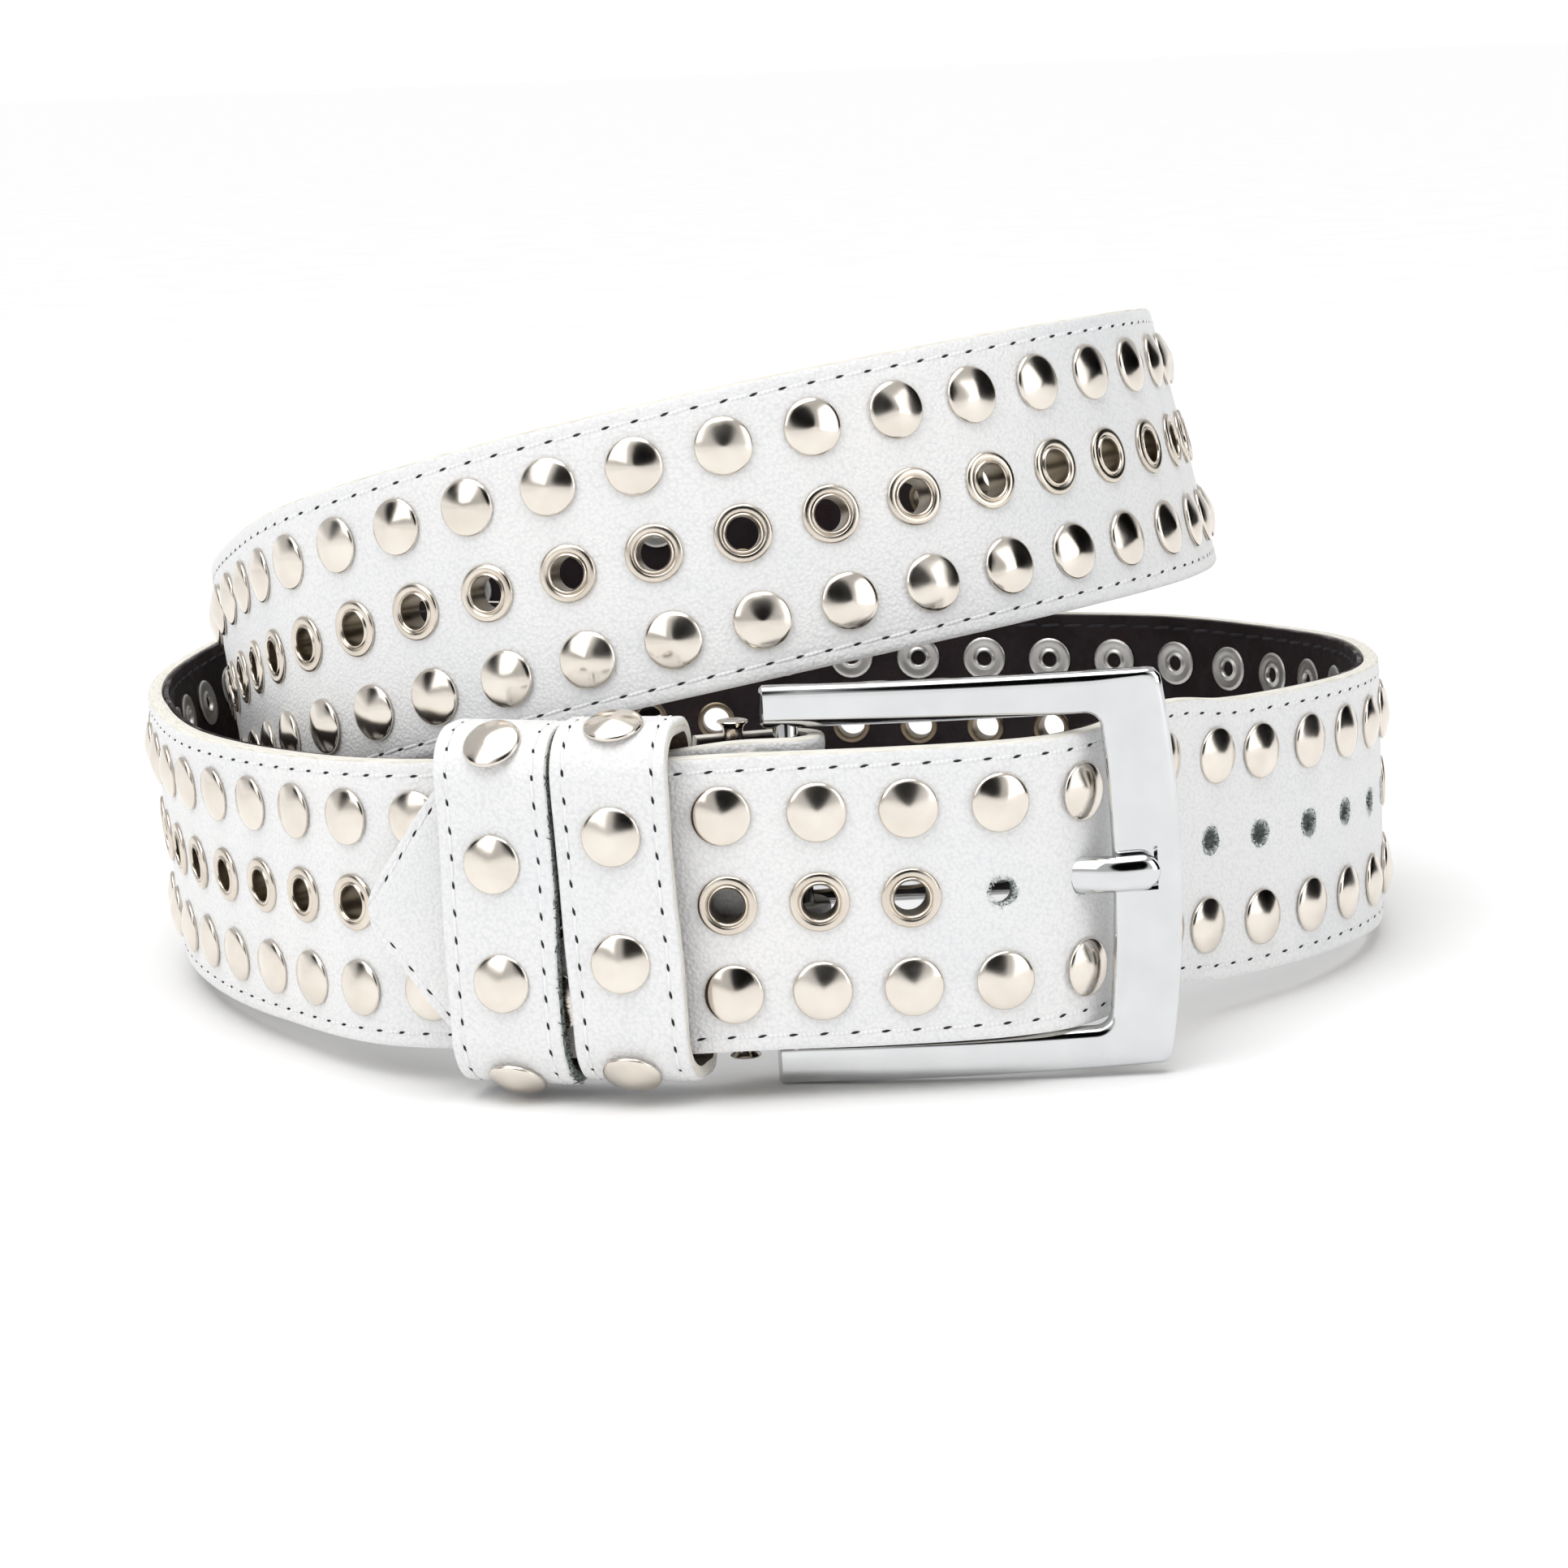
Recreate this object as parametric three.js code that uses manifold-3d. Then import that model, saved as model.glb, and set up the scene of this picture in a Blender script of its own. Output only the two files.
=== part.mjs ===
// A studded leather belt, buckled and coiled in two turns, standing on its edge.
// Millimetres, +Z up. The buckle faces -Y, and the origin is on the floor under the coil's middle.
import * as THREE from "three";
import { mergeVertices } from "three/addons/utils/BufferGeometryUtils.js";
import Module from "manifold-3d";

const wasm = await Module();
wasm.setup();

// Strap
const strapWidth = 40;
const faceThickness = 2;
const liningThickness = 1;
const layerGap = 0.3;
const tipLength = 15.5;
const tipStart = 2; // how far the tip stops short of the end of the overlap
const firstColumn = 27.5; // from the point of the tip to the first column of studs

// Studs, eyelets and holes, in three rows
const pitch = 12;
const rowSpacing = 12;
const studDiameter = 8;
const studHeight = 1.6;
const studSides = 10;
const eyeletBore = 4.6;
const plainHole = 4.2;
const holeSides = 6;
const firstPlainHole = 5; // columns counted from the tip
const plainHoles = 10;

// Coil
const coilWidth = 188;
const coilDepth = 194;

// Buckle
const frameLength = 56; // outside, along the belt
const frameHeight = 53.8;
const frameThickness = 3.4;
const armHeight = 5.5;
const endBarWidth = 9.3;
const endBulge = 2.2; // how far the end bar's outer edge bows out at the middle of its height
const openingBulge = 1.2; // the same for its inner edge
const frameBow = 1.6; // how far the arms bow forward between their ends
const frameCorner = 1.6;
const frameBevel = 0.6;
const barDiameter = 3.4;
const barInset = 2.6; // from the free ends of the arms to the middle of the pivot bar
const prongWidth = 5; // its end is half a circle of this width
const prongThickness = 2.8;
const prongOverhang = 4.2; // how far the prong stops short of the end bar's outer edge
const prongWall = 1.5; // thickness of its ring round the pivot bar
const prongSeat = 1.2; // depth of the notch in the end bar
const prongSlack = 0.4;
const foldTurn = 194; // degrees the folded end turns round the pivot bar
const foldReach = 11.5; // length of the folded end past that turn
const foldSteps = 8;
const slotReach = 4.4; // how far the slot for the prong starts behind the pivot bar
const rivetDiameter = 2.6;
const rivetHead = 4.2;
const rivetHeadHeight = 0.8;
const rivetInset = 2.4; // from the strap's edge to the rivet's middle
const rivetBack = 5.2; // from the pivot bar back to the rivet's middle

// Keepers
const keeperWidth = 14.8;
const keeperThickness = 2;
const keeperHeight = 50;
const keeperCorner = 4.5;
const keeperRoom = 0.6; // round the two layers, because the strap bends and the keeper is straight

// Along is from the pivot bar, and studs are heights round the front as shares of the keeper's.
const keeperPlaces = [
  { name: "keeper_near_buckle", along: 20.6, studs: [0.09, 0.315, 0.64, 0.955] },
  { name: "keeper_near_tip", along: 36.7, studs: [0.09, 0.265, 0.582, 0.898] },
];

const fit = 0.3; // clearance between pieces that touch

// Worked out
const strapThickness = faceThickness + layerGap + liningThickness;
const halfWidth = strapWidth / 2;
const barRadius = barDiameter / 2;
const overlapSpacing = strapThickness + studHeight + fit; // between the middles of the two layers
const barDepth = strapThickness / 2 + fit + barRadius; // bar's middle, behind the lower layer's middle
const frameLift = (frameHeight - strapWidth) / 2; // floor to the strap's lower edge at the buckle
const keeperLift = (keeperHeight - strapWidth) / 2;

// The strap's route. Turn is in degrees, from the front anticlockwise seen from above. Reach is a
// share of the coil's half width and half depth, lift the lower edge's height as a share of the
// strap's width, and lean how far the upper edge leans outwards, in degrees.
const route = [
  { turn: 51.5, reach: 0.852, lift: 0.13, lean: -1 },
  { turn: 67, reach: 0.905, lift: 0.105, lean: -1 },
  { turn: 82, reach: 0.96, lift: 0.075, lean: -1 },
  { turn: 96, reach: 1.0, lift: 0.045, lean: 0 },
  { turn: 110, reach: 1.05, lift: 0.02, lean: 1 },
  { turn: 123, reach: 1.07, lift: 0, lean: 2 },
  { turn: 136, reach: 1.06, lift: 0, lean: 2 },
  { turn: 153, reach: 1.0, lift: 0, lean: 0 },
  { turn: 172, reach: 0.96, lift: 0.02, lean: 0 },
  { turn: 194, reach: 0.995, lift: 0.07, lean: 2 },
  { turn: 215, reach: 1.055, lift: 0.16, lean: 7 },
  { turn: 235, reach: 1.02, lift: 0.29, lean: 9 },
  { turn: 255, reach: 0.91, lift: 0.49, lean: 7 },
  { turn: 278, reach: 0.825, lift: 0.71, lean: 4 },
  { turn: 304, reach: 0.81, lift: 0.94, lean: 2 },
  { turn: 330, reach: 0.775, lift: 1.16, lean: -4 },
  { turn: 358, reach: 0.73, lift: 1.345, lean: -8 },
  { turn: 388, reach: 0.69, lift: 1.46, lean: -12 },
  { turn: 420, reach: 0.67, lift: 1.49, lean: -13 },
  { turn: 453, reach: 0.675, lift: 1.44, lean: -14 },
  { turn: 473, reach: 0.735, lift: 1.38, lean: -12 },
  { turn: 489, reach: 0.85, lift: 1.28, lean: -9 },
  { turn: 503, reach: 0.965, lift: 1.2, lean: -5 },
  { turn: 517, reach: 1.02, lift: 1.06, lean: -2 },
  { turn: 532, reach: 1.035, lift: 0.84, lean: 0 },
  { turn: 548, reach: 1.06, lift: 0.61, lean: 2 },
  { turn: 564, reach: 1.115, lift: 0.4, lean: 6 },
  { turn: 579, reach: 1.145, lift: 0.25, lean: 10 },
  { turn: 593, reach: 1.12, lift: 0.15, lean: 11 },
  { turn: 607, reach: 1.065, lift: 0.1, lean: 9 },
  { turn: 618, reach: 1.02, lift: 0.085, lean: 6 },
  { turn: 632, reach: 0.965, lift: 0.08, lean: 4 },
  { turn: 648, reach: 0.925, lift: 0.08, lean: 5 },
  { turn: 664, reach: 0.905, lift: 0.09, lean: 4 },
];

// The buckle stands in front: the pivot bar's place, and the end bar's middle ahead of it.
const barX = 1.5;
const lowerLayerReach = 0.885; // share of the half depth, at the pivot bar
const endBarRise = 2.8;

const lowerY = (-coilDepth / 2) * lowerLayerReach;
const barY = lowerY + barDepth;
const endBarX = barX + frameLength - barInset - endBarWidth / 2;
const endBarY = barY - endBarRise;
const buckleSpan = endBarX - barX;
const tipRise = barDepth + overlapSpacing;

// The lower layer's bend to the left of the bar, which the tip lies along. Lift is a share of the
// strap's lift at the buckle.
const overlapBend = [
  { along: 0, back: 0, lift: 1 },
  { along: 6, back: 0, lift: 1 },
  { along: 21, back: 2.3, lift: 0.9 },
  { along: 38, back: 7.8, lift: 0.78 },
  { along: 56, back: 17.2, lift: 0.64 },
];

// The upper layer's way from the bar, through the frame and behind the end bar. Along is a share of
// the span from bar to end bar, and rise how far it stands in front of the end bar's back face, as
// a share of its rise over the pivot bar.
const throughFrame = [
  { along: 0.28, rise: 0.86 },
  { along: 0.56, rise: 0.68 },
  { along: 0.72, rise: 0.34 },
  { along: 0.815, rise: -0.15 },
  { along: 0.896, rise: -0.84 },
  { along: 0.987, rise: -1.66 },
  { along: 1.087, rise: -2.52 },
];

// A point of the route: where the strap's middle is in plan, its lower edge's height and its lean.
function routePoint(x, y, lift, lean) {
  return { x, y, lift: lift * strapWidth, lean };
}

function coilPoint(row) {
  const angle = THREE.MathUtils.degToRad(row.turn);
  const x = (coilWidth / 2) * row.reach * Math.sin(angle);
  const y = (-coilDepth / 2) * row.reach * Math.cos(angle);
  return routePoint(x, y, row.lift, row.lean);
}

// The lower layer's points to the left of the bar, shifted forward by a spacing.
function overlapPoints(spacing) {
  return overlapBend.map((row, i) => {
    const next = overlapBend[Math.min(i + 1, overlapBend.length - 1)];
    const last = overlapBend[Math.max(i - 1, 0)];
    const slope = (next.back - last.back) / (next.along - last.along);
    const size = Math.hypot(1, slope);
    const x = barX - row.along - (spacing * slope) / size;
    const y = lowerY + row.back - spacing / size;
    return routePoint(x, y, (row.lift * frameLift) / strapWidth, 0);
  });
}

function framePoint(row) {
  const behind = endBarY + frameThickness / 2;
  return routePoint(
    barX + buckleSpan * row.along,
    behind - tipRise * row.rise,
    frameLift / strapWidth,
    0,
  );
}

const lowerLayer = overlapPoints(0);
const upperLayer = overlapPoints(overlapSpacing).reverse();
const routePoints = [
  ...upperLayer,
  ...throughFrame.map(framePoint),
  ...route.map(coilPoint),
  ...lowerLayer.reverse(),
];

// The route as a smooth curve of the strap's middle, measured along its length from the tip.
function strapMiddle(p) {
  const lean = THREE.MathUtils.degToRad(p.lean);
  return new THREE.Vector3(p.x, p.y, p.lift + halfWidth * Math.cos(lean));
}
const middleCurve = new THREE.CatmullRomCurve3(routePoints.map(strapMiddle), false, "centripetal");
middleCurve.arcLengthDivisions = 4000;
const up = new THREE.Vector3(0, 0, 1);

// The lean at a share of the way along the route's points.
function leanAt(t) {
  const place = t * (routePoints.length - 1);
  const i = Math.min(Math.floor(place), routePoints.length - 2);
  const lean = THREE.MathUtils.lerp(routePoints[i].lean, routePoints[i + 1].lean, place - i);
  return THREE.MathUtils.degToRad(lean);
}

// The strap's frame at a length from the tip: its middle, and unit directions along the strap,
// across it to the upper edge, and out of its face.
const routeLength = middleCurve.getLength();
const barLength = routeLength - tipStart; // from the tip to the pivot bar
function routeFrame(length) {
  const share = THREE.MathUtils.clamp((length + tipStart) / routeLength, 0, 1);
  const t = middleCurve.getUtoTmapping(share);
  const middle = middleCurve.getPoint(t);
  const along = middleCurve.getTangent(t);
  const out = new THREE.Vector3().crossVectors(along, up).normalize();
  const across = new THREE.Vector3().crossVectors(out, along).normalize();
  const lean = leanAt(t);
  const leanedAcross = across.clone().multiplyScalar(Math.cos(lean)).addScaledVector(out, Math.sin(lean));
  const leanedOut = new THREE.Vector3().crossVectors(along, leanedAcross).normalize();
  const past = length + tipStart - share * routeLength;
  return {
    middle: middle.addScaledVector(along, past),
    along,
    across: leanedAcross,
    out: leanedOut,
  };
}

// The same past the pivot bar, where the strap's end turns round it and runs back.
const foldAngle = THREE.MathUtils.degToRad(foldTurn);
const strapLength = barLength + barDepth * foldAngle + foldReach;
function foldFrame(length) {
  const start = routeFrame(barLength);
  const turned = Math.min((length - barLength) / barDepth, foldAngle);
  const past = length - barLength - turned * barDepth;
  const out = start.out.clone().multiplyScalar(Math.cos(turned));
  out.addScaledVector(start.along, Math.sin(turned));
  const along = start.along.clone().multiplyScalar(Math.cos(turned));
  along.addScaledVector(start.out, -Math.sin(turned));
  const middle = start.middle.clone().addScaledVector(start.out, -barDepth);
  middle.addScaledVector(out, barDepth).addScaledVector(along, past);
  return { middle, along, across: start.across, out };
}

const knownFrames = new Map();
function strapFrame(length) {
  if (!knownFrames.has(length)) {
    knownFrames.set(length, length <= barLength ? routeFrame(length) : foldFrame(length));
  }
  return knownFrames.get(length);
}

// The tip's outline, as shares of its length and of the strap's half width.
const tipOutline = [
  { along: 0, across: 0 },
  { along: 0.135, across: 0.29 },
  { along: 0.477, across: 0.55 },
  { along: 1, across: 1 },
];
function halfWidthAt(length) {
  const share = Math.min(length / tipLength, 1);
  const i = Math.max(tipOutline.findIndex((row) => row.along >= share), 1);
  const last = tipOutline[i - 1];
  const next = tipOutline[i];
  const part = (share - last.along) / (next.along - last.along);
  return halfWidth * THREE.MathUtils.lerp(last.across, next.across, part);
}

// The strap as flat cells: the tip, one cell to each column of studs, the plain end and the fold.
const lastRoom = rivetBack + rivetHead / 2 + studDiameter / 2 + fit;
const columns = Math.floor((barLength - lastRoom - firstColumn) / pitch) + 1;
const crossings = [0, tipOutline[2].along * tipLength, tipLength];
for (let i = 0; i <= columns; i++) crossings.push(firstColumn + pitch * (i - 0.5));
for (let i = 0; i <= foldSteps; i++) crossings.push(barLength + (barDepth * foldAngle * i) / foldSteps);
crossings.push(strapLength);

const cells = crossings.slice(1).map((to, i) => {
  const from = crossings[i];
  const column = Math.round(((from + to) / 2 - firstColumn) / pitch);
  const studded = from >= tipLength && column >= 0 && column < columns && to - from > pitch - 1;
  return { from, to, middle: (from + to) / 2, column: studded ? column : -1 };
});

function cellOutline(cell) {
  const between = tipOutline.map((row) => row.along * tipLength);
  const stations = [cell.from, ...between.filter((s) => s > cell.from && s < cell.to), cell.to];
  const lower = stations.map((s) => ({ along: s, across: -halfWidthAt(s), frame: s }));
  const upper = stations.map((s) => ({ along: s, across: halfWidthAt(s), frame: s }));
  return [...lower, ...upper.reverse().filter((point) => point.across > 0)];
}

function ring(cell, across, diameter, sides) {
  const points = [];
  for (let i = 0; i < sides; i++) {
    const angle = (2 * Math.PI * (i + 0.5)) / sides;
    points.push({
      along: cell.middle + (diameter / 2) * Math.cos(angle),
      across: across + (diameter / 2) * Math.sin(angle),
      frame: cell.middle,
    });
  }
  return points;
}

function place(point, height) {
  const frame = strapFrame(point.frame);
  const at = frame.middle.clone().addScaledVector(frame.along, point.along - point.frame);
  return at.addScaledVector(frame.across, point.across).addScaledVector(frame.out, height);
}

// A flat sheet of a cell with its holes, at a height over the strap's middle.
function addSheet(triangles, outline, holes, height, facesOut) {
  const flat = (points) => points.map((p) => new THREE.Vector2(p.along, p.across));
  const points = [...outline, ...holes.flat()];
  for (const [a, b, c] of THREE.ShapeUtils.triangulateShape(flat(outline), holes.map(flat))) {
    const area = THREE.ShapeUtils.area(flat([points[a], points[b], points[c]]));
    const order = area > 0 === facesOut ? [a, b, c] : [a, c, b];
    triangles.push(order.map((i) => place(points[i], height)));
  }
}

// A wall under an edge of a sheet, from one height to another.
function addWall(triangles, from, to, low, high) {
  triangles.push([place(from, low), place(to, low), place(to, high)]);
  triangles.push([place(from, low), place(to, high), place(from, high)]);
}

function cellHoles(cell) {
  if (cell.column < 0) return [];
  const last = firstPlainHole + plainHoles;
  const plain = cell.column >= firstPlainHole && cell.column < last;
  return [ring(cell, 0, plain ? plainHole : eyeletBore, holeSides)];
}

function cellStuds(cell) {
  if (cell.column < 0) return [];
  return [-1, 1].map((row) => ({
    rim: ring(cell, row * rowSpacing, studDiameter, studSides),
    peak: { along: cell.middle, across: row * rowSpacing, frame: cell.middle },
  }));
}

// One layer of the strap between two heights, with or without its studs.
function strapLayer(low, high, withStuds) {
  const triangles = [];
  for (const cell of cells) {
    const outline = cellOutline(cell);
    const holes = cellHoles(cell);
    const studs = withStuds ? cellStuds(cell) : [];
    addSheet(triangles, outline, [...holes, ...studs.map((stud) => stud.rim)], high, true);
    addSheet(triangles, outline, holes, low, false);
    outline.forEach((from, i) => {
      const to = outline[(i + 1) % outline.length];
      const joins = from.along === to.along && to.along < strapLength;
      if (!joins) addWall(triangles, from, to, low, high);
    });
    for (const hole of holes) {
      hole.forEach((from, i) => addWall(triangles, hole[(i + 1) % hole.length], from, low, high));
    }
    for (const { rim, peak } of studs) {
      rim.forEach((from, i) => {
        const to = rim[(i + 1) % rim.length];
        triangles.push([place(from, high), place(to, high), place(peak, high + studHeight)]);
      });
    }
  }
  const geometry = new THREE.BufferGeometry();
  geometry.setFromPoints(triangles.flat());
  return geometry;
}

// Solids, for joining and cutting.
function toSolid(geometry) {
  const bare = new THREE.BufferGeometry();
  bare.setAttribute("position", geometry.getAttribute("position"));
  if (geometry.index) bare.setIndex(geometry.index);
  const merged = mergeVertices(bare, 1e-4);
  const solid = new wasm.Manifold(
    new wasm.Mesh({
      numProp: 3,
      vertProperties: new Float32Array(merged.getAttribute("position").array),
      triVerts: new Uint32Array(merged.index.array),
    }),
  );
  if (solid.isEmpty()) throw new Error("a piece did not close");
  return solid;
}

function toGeometry(solid) {
  const mesh = solid.getMesh();
  const geometry = new THREE.BufferGeometry();
  geometry.setAttribute("position", new THREE.BufferAttribute(new Float32Array(mesh.vertProperties), 3));
  geometry.setIndex(new THREE.BufferAttribute(new Uint32Array(mesh.triVerts), 1));
  return geometry;
}

// A flat outline pushed through a depth, its middle at zero, with its edges bevelled.
function pushed(points, holes, depth, bevel = 0) {
  const shape = new THREE.Shape(points);
  shape.holes = holes.map((hole) => new THREE.Path(hole));
  const geometry = new THREE.ExtrudeGeometry(shape, {
    depth: depth - 2 * bevel,
    bevelEnabled: bevel > 0,
    bevelThickness: bevel,
    bevelSize: bevel,
    bevelOffset: -bevel,
    bevelSegments: 1,
    steps: 1,
  });
  return geometry.translate(0, 0, bevel - depth / 2);
}

// The buckle's frame, drawn from the front: two arms, open at the left, and the end bar.
const frameLeft = barX - barInset;
const frameRight = frameLeft + frameLength;
const middleHeight = frameLift + halfWidth;

function bowOf(share) {
  return 4 * share * (1 - share);
}
function outerEdge(height) {
  return frameRight - endBulge * (1 - bowOf(height / frameHeight));
}
function innerEdge(height) {
  const share = (height - armHeight) / (frameHeight - 2 * armHeight);
  return frameRight - endBarWidth - openingBulge * (1 - bowOf(share));
}

const edgeSteps = 6;
const armSteps = 6;
function frameOutline() {
  const points = [];
  const add = (x, y) => points.push(new THREE.Vector2(x, y));
  const round = frameCorner;
  const eased = round * (1 - Math.SQRT1_2);
  const cornerX = outerEdge(0);
  add(frameLeft, round);
  add(frameLeft + eased, eased);
  for (let i = 0; i <= armSteps; i++) {
    add(THREE.MathUtils.lerp(frameLeft + round, cornerX - round, i / armSteps), 0);
  }
  add(outerEdge(eased) - eased, eased);
  for (let i = 0; i <= edgeSteps; i++) {
    const height = THREE.MathUtils.lerp(round, frameHeight - round, i / edgeSteps);
    add(outerEdge(height), height);
  }
  add(outerEdge(eased) - eased, frameHeight - eased);
  for (let i = armSteps; i >= 0; i--) {
    add(THREE.MathUtils.lerp(frameLeft + round, cornerX - round, i / armSteps), frameHeight);
  }
  add(frameLeft + eased, frameHeight - eased);
  add(frameLeft, frameHeight - round);
  const top = frameHeight - armHeight;
  for (let i = 0; i <= armSteps; i++) {
    add(THREE.MathUtils.lerp(frameLeft, innerEdge(top), i / armSteps), top);
  }
  for (let i = 1; i < edgeSteps; i++) {
    const height = THREE.MathUtils.lerp(top, armHeight, i / edgeSteps);
    add(innerEdge(height), height);
  }
  for (let i = armSteps; i >= 0; i--) {
    add(THREE.MathUtils.lerp(frameLeft, innerEdge(armHeight), i / armSteps), armHeight);
  }
  return points;
}

// How far forward the frame's middle stands at a place along the buckle.
function frameDepth(x) {
  const share = (x - barX) / buckleSpan;
  return barY - endBarRise * share - frameBow * bowOf(share);
}

function bowedFrame() {
  const geometry = pushed(frameOutline(), [], frameThickness, frameBevel);
  geometry.rotateX(Math.PI / 2);
  const position = geometry.getAttribute("position");
  for (let i = 0; i < position.count; i++) {
    position.setY(i, position.getY(i) + frameDepth(position.getX(i)));
  }
  return toSolid(geometry);
}

function standingRod(x, y, low, high, radius, sides) {
  const rod = new THREE.CylinderGeometry(radius, radius, high - low, sides, 1);
  rod.rotateX(Math.PI / 2).rotateZ(Math.PI / sides);
  return toSolid(rod.translate(x, y, (low + high) / 2));
}

const armOverlap = 1.5; // how far the pivot bar's ends reach into the arms
const barLow = armHeight - armOverlap;
const pivotBar = standingRod(barX, barY, barLow, frameHeight - barLow, barRadius, 12);

// The prong, seen from above: along is a share of the span from bar to end bar, and forward a
// distance from the bar's middle.
const prongRing = barRadius + fit + prongWall;
const prongRest = endBarRise + frameThickness / 2 - prongSeat + prongThickness / 2;
const prongTip = (frameRight - prongOverhang - barX) / buckleSpan;
const prongLine = [
  { along: 0.05, forward: 0.2 },
  { along: 0.65, forward: 0.35 },
  { along: 0.865, forward: prongRest + 0.2 },
  { along: prongTip, forward: prongRest - 0.15 },
];

// The prong's shank, grown on every side by a slack when it cuts a hole or a notch.
function prongShank(slack) {
  const half = prongThickness / 2 + slack;
  const line = prongLine.map((row) => new THREE.Vector2(barX + buckleSpan * row.along, barY - row.forward));
  line[line.length - 1].x += slack;
  const front = [];
  const back = [];
  line.forEach((point, i) => {
    const last = line[Math.max(i - 1, 0)];
    const next = line[Math.min(i + 1, line.length - 1)];
    const way = next.clone().sub(last).normalize();
    front.push(new THREE.Vector2(point.x + way.y * half, point.y - way.x * half));
    back.push(new THREE.Vector2(point.x - way.y * half, point.y + way.x * half));
  });
  const width = prongWidth + 2 * slack;
  const plan = pushed([...front, ...back.reverse()], [], width).translate(0, 0, middleHeight);
  return toSolid(plan).intersect(prongFace(line[line.length - 1].x, width));
}

// The prong's outline from the front, with its round end, pushed right through its depth.
function prongFace(tip, width) {
  const points = [new THREE.Vector2(barX, -width / 2)];
  const arcSteps = 8;
  for (let i = 0; i <= arcSteps; i++) {
    const angle = Math.PI * (i / arcSteps - 0.5);
    const x = tip - width / 2 + (width / 2) * Math.cos(angle);
    points.push(new THREE.Vector2(x, (width / 2) * Math.sin(angle)));
  }
  points.push(new THREE.Vector2(barX, width / 2));
  const face = pushed(points, [], frameHeight).rotateX(Math.PI / 2);
  return toSolid(face.translate(0, barY, middleHeight));
}

function ringAroundBar() {
  const low = middleHeight - prongWidth / 2;
  const high = middleHeight + prongWidth / 2;
  return standingRod(barX, barY, low, high, prongRing, 16);
}
const bore = standingRod(barX, barY, 0, frameHeight, barRadius + fit, 16);
const prong = ringAroundBar().add(prongShank(0)).subtract(bore);
const prongCut = prongShank(prongSlack);
const frame = bowedFrame().add(pivotBar).subtract(prongCut);

// Rivets through the two layers of the fold, one near each edge of the strap.
const rivetPast = (rivetBack + barDepth * Math.sin(foldAngle)) / -Math.cos(foldAngle);
const foldFar = strapFrame(barLength + barDepth * foldAngle + rivetPast).middle.y;
const rivetLean = (rivetHead / 2) * Math.abs(Math.tan(foldAngle));
const rivetBehind = foldFar + strapThickness / 2 + rivetLean + fit;
const rivetAhead = lowerY - strapThickness / 2 - fit / 2;

function rivetRod(diameter, from, to, side, sides) {
  const radius = diameter / 2;
  const rod = new THREE.CylinderGeometry(radius, radius, to - from, sides, 1);
  const height = middleHeight + side * (halfWidth - rivetInset);
  return toSolid(rod.translate(barX - rivetBack, (from + to) / 2, height));
}

function rivet(side) {
  const sides = 10;
  const front = rivetRod(rivetHead, rivetAhead - rivetHeadHeight, rivetAhead, side, sides);
  const back = rivetRod(rivetHead, rivetBehind, rivetBehind + rivetHeadHeight, side, sides);
  const shank = rivetRod(rivetDiameter, rivetAhead - fit, rivetBehind + fit, side, sides);
  return front.add(back).add(shank);
}

function rivetHole(side) {
  return rivetRod(rivetDiameter + 2 * fit, rivetAhead, rivetBehind, side, 8);
}

// The slot in the fold that the prong turns in.
function prongSlot() {
  const length = slotReach + barDepth + strapThickness;
  const depth = 2 * (barDepth + strapThickness / 2) + fit;
  const slot = new THREE.BoxGeometry(length, depth, prongWidth + 2 * prongSlack);
  return toSolid(slot.translate(barX - slotReach + length / 2, barY, middleHeight));
}

const liningLow = -strapThickness / 2;
const liningHigh = liningLow + liningThickness;
const faceLow = liningHigh + layerGap;
const faceHigh = faceLow + faceThickness;
const cuts = prongCut.add(prongSlot()).add(rivetHole(1)).add(rivetHole(-1));
const strapFace = toSolid(strapLayer(faceLow, faceHigh, true)).subtract(cuts);
const strapLining = toSolid(strapLayer(liningLow, liningHigh, false)).subtract(cuts);

// A keeper: a loop round both layers, drawn along the strap, with studs round its front.
const keeperBack = strapThickness / 2 + keeperRoom + keeperThickness;
const keeperFront = overlapSpacing + strapThickness / 2 + studHeight + keeperRoom + keeperThickness;

function roundedBox(left, right, low, high, corner) {
  const centres = [
    { x: right - corner, y: low + corner, from: -90 },
    { x: right - corner, y: high - corner, from: 0 },
    { x: left + corner, y: high - corner, from: 90 },
    { x: left + corner, y: low + corner, from: 180 },
  ];
  const points = [];
  for (const centre of centres) {
    for (let i = 0; i <= 3; i++) {
      const angle = THREE.MathUtils.degToRad(centre.from + 30 * i);
      points.push(
        new THREE.Vector2(centre.x + corner * Math.cos(angle), centre.y + corner * Math.sin(angle)),
      );
    }
  }
  return points;
}

// A stud on the keeper's front, at a height measured round its corners.
function keeperStud(height) {
  const over = Math.max(height - (keeperHeight - keeperCorner), 0) / keeperCorner;
  const under = Math.max(keeperCorner - height, 0) / keeperCorner;
  const turn = over - under;
  const level = THREE.MathUtils.clamp(height, keeperCorner, keeperHeight - keeperCorner);
  const radius = studDiameter / 2;
  const root = 0.1 - keeperThickness;
  const profile = [
    new THREE.Vector2(0, root),
    new THREE.Vector2(radius, root),
    new THREE.Vector2(radius, 0),
    new THREE.Vector2(radius * 0.6, studHeight * 0.75),
    new THREE.Vector2(0, studHeight),
  ];
  const stud = new THREE.LatheGeometry(profile, studSides);
  stud.rotateZ(Math.PI / 2).translate(-keeperCorner, 0, 0).rotateZ(-turn);
  return toSolid(stud.translate(keeperCorner - keeperFront, level, 0));
}

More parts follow.
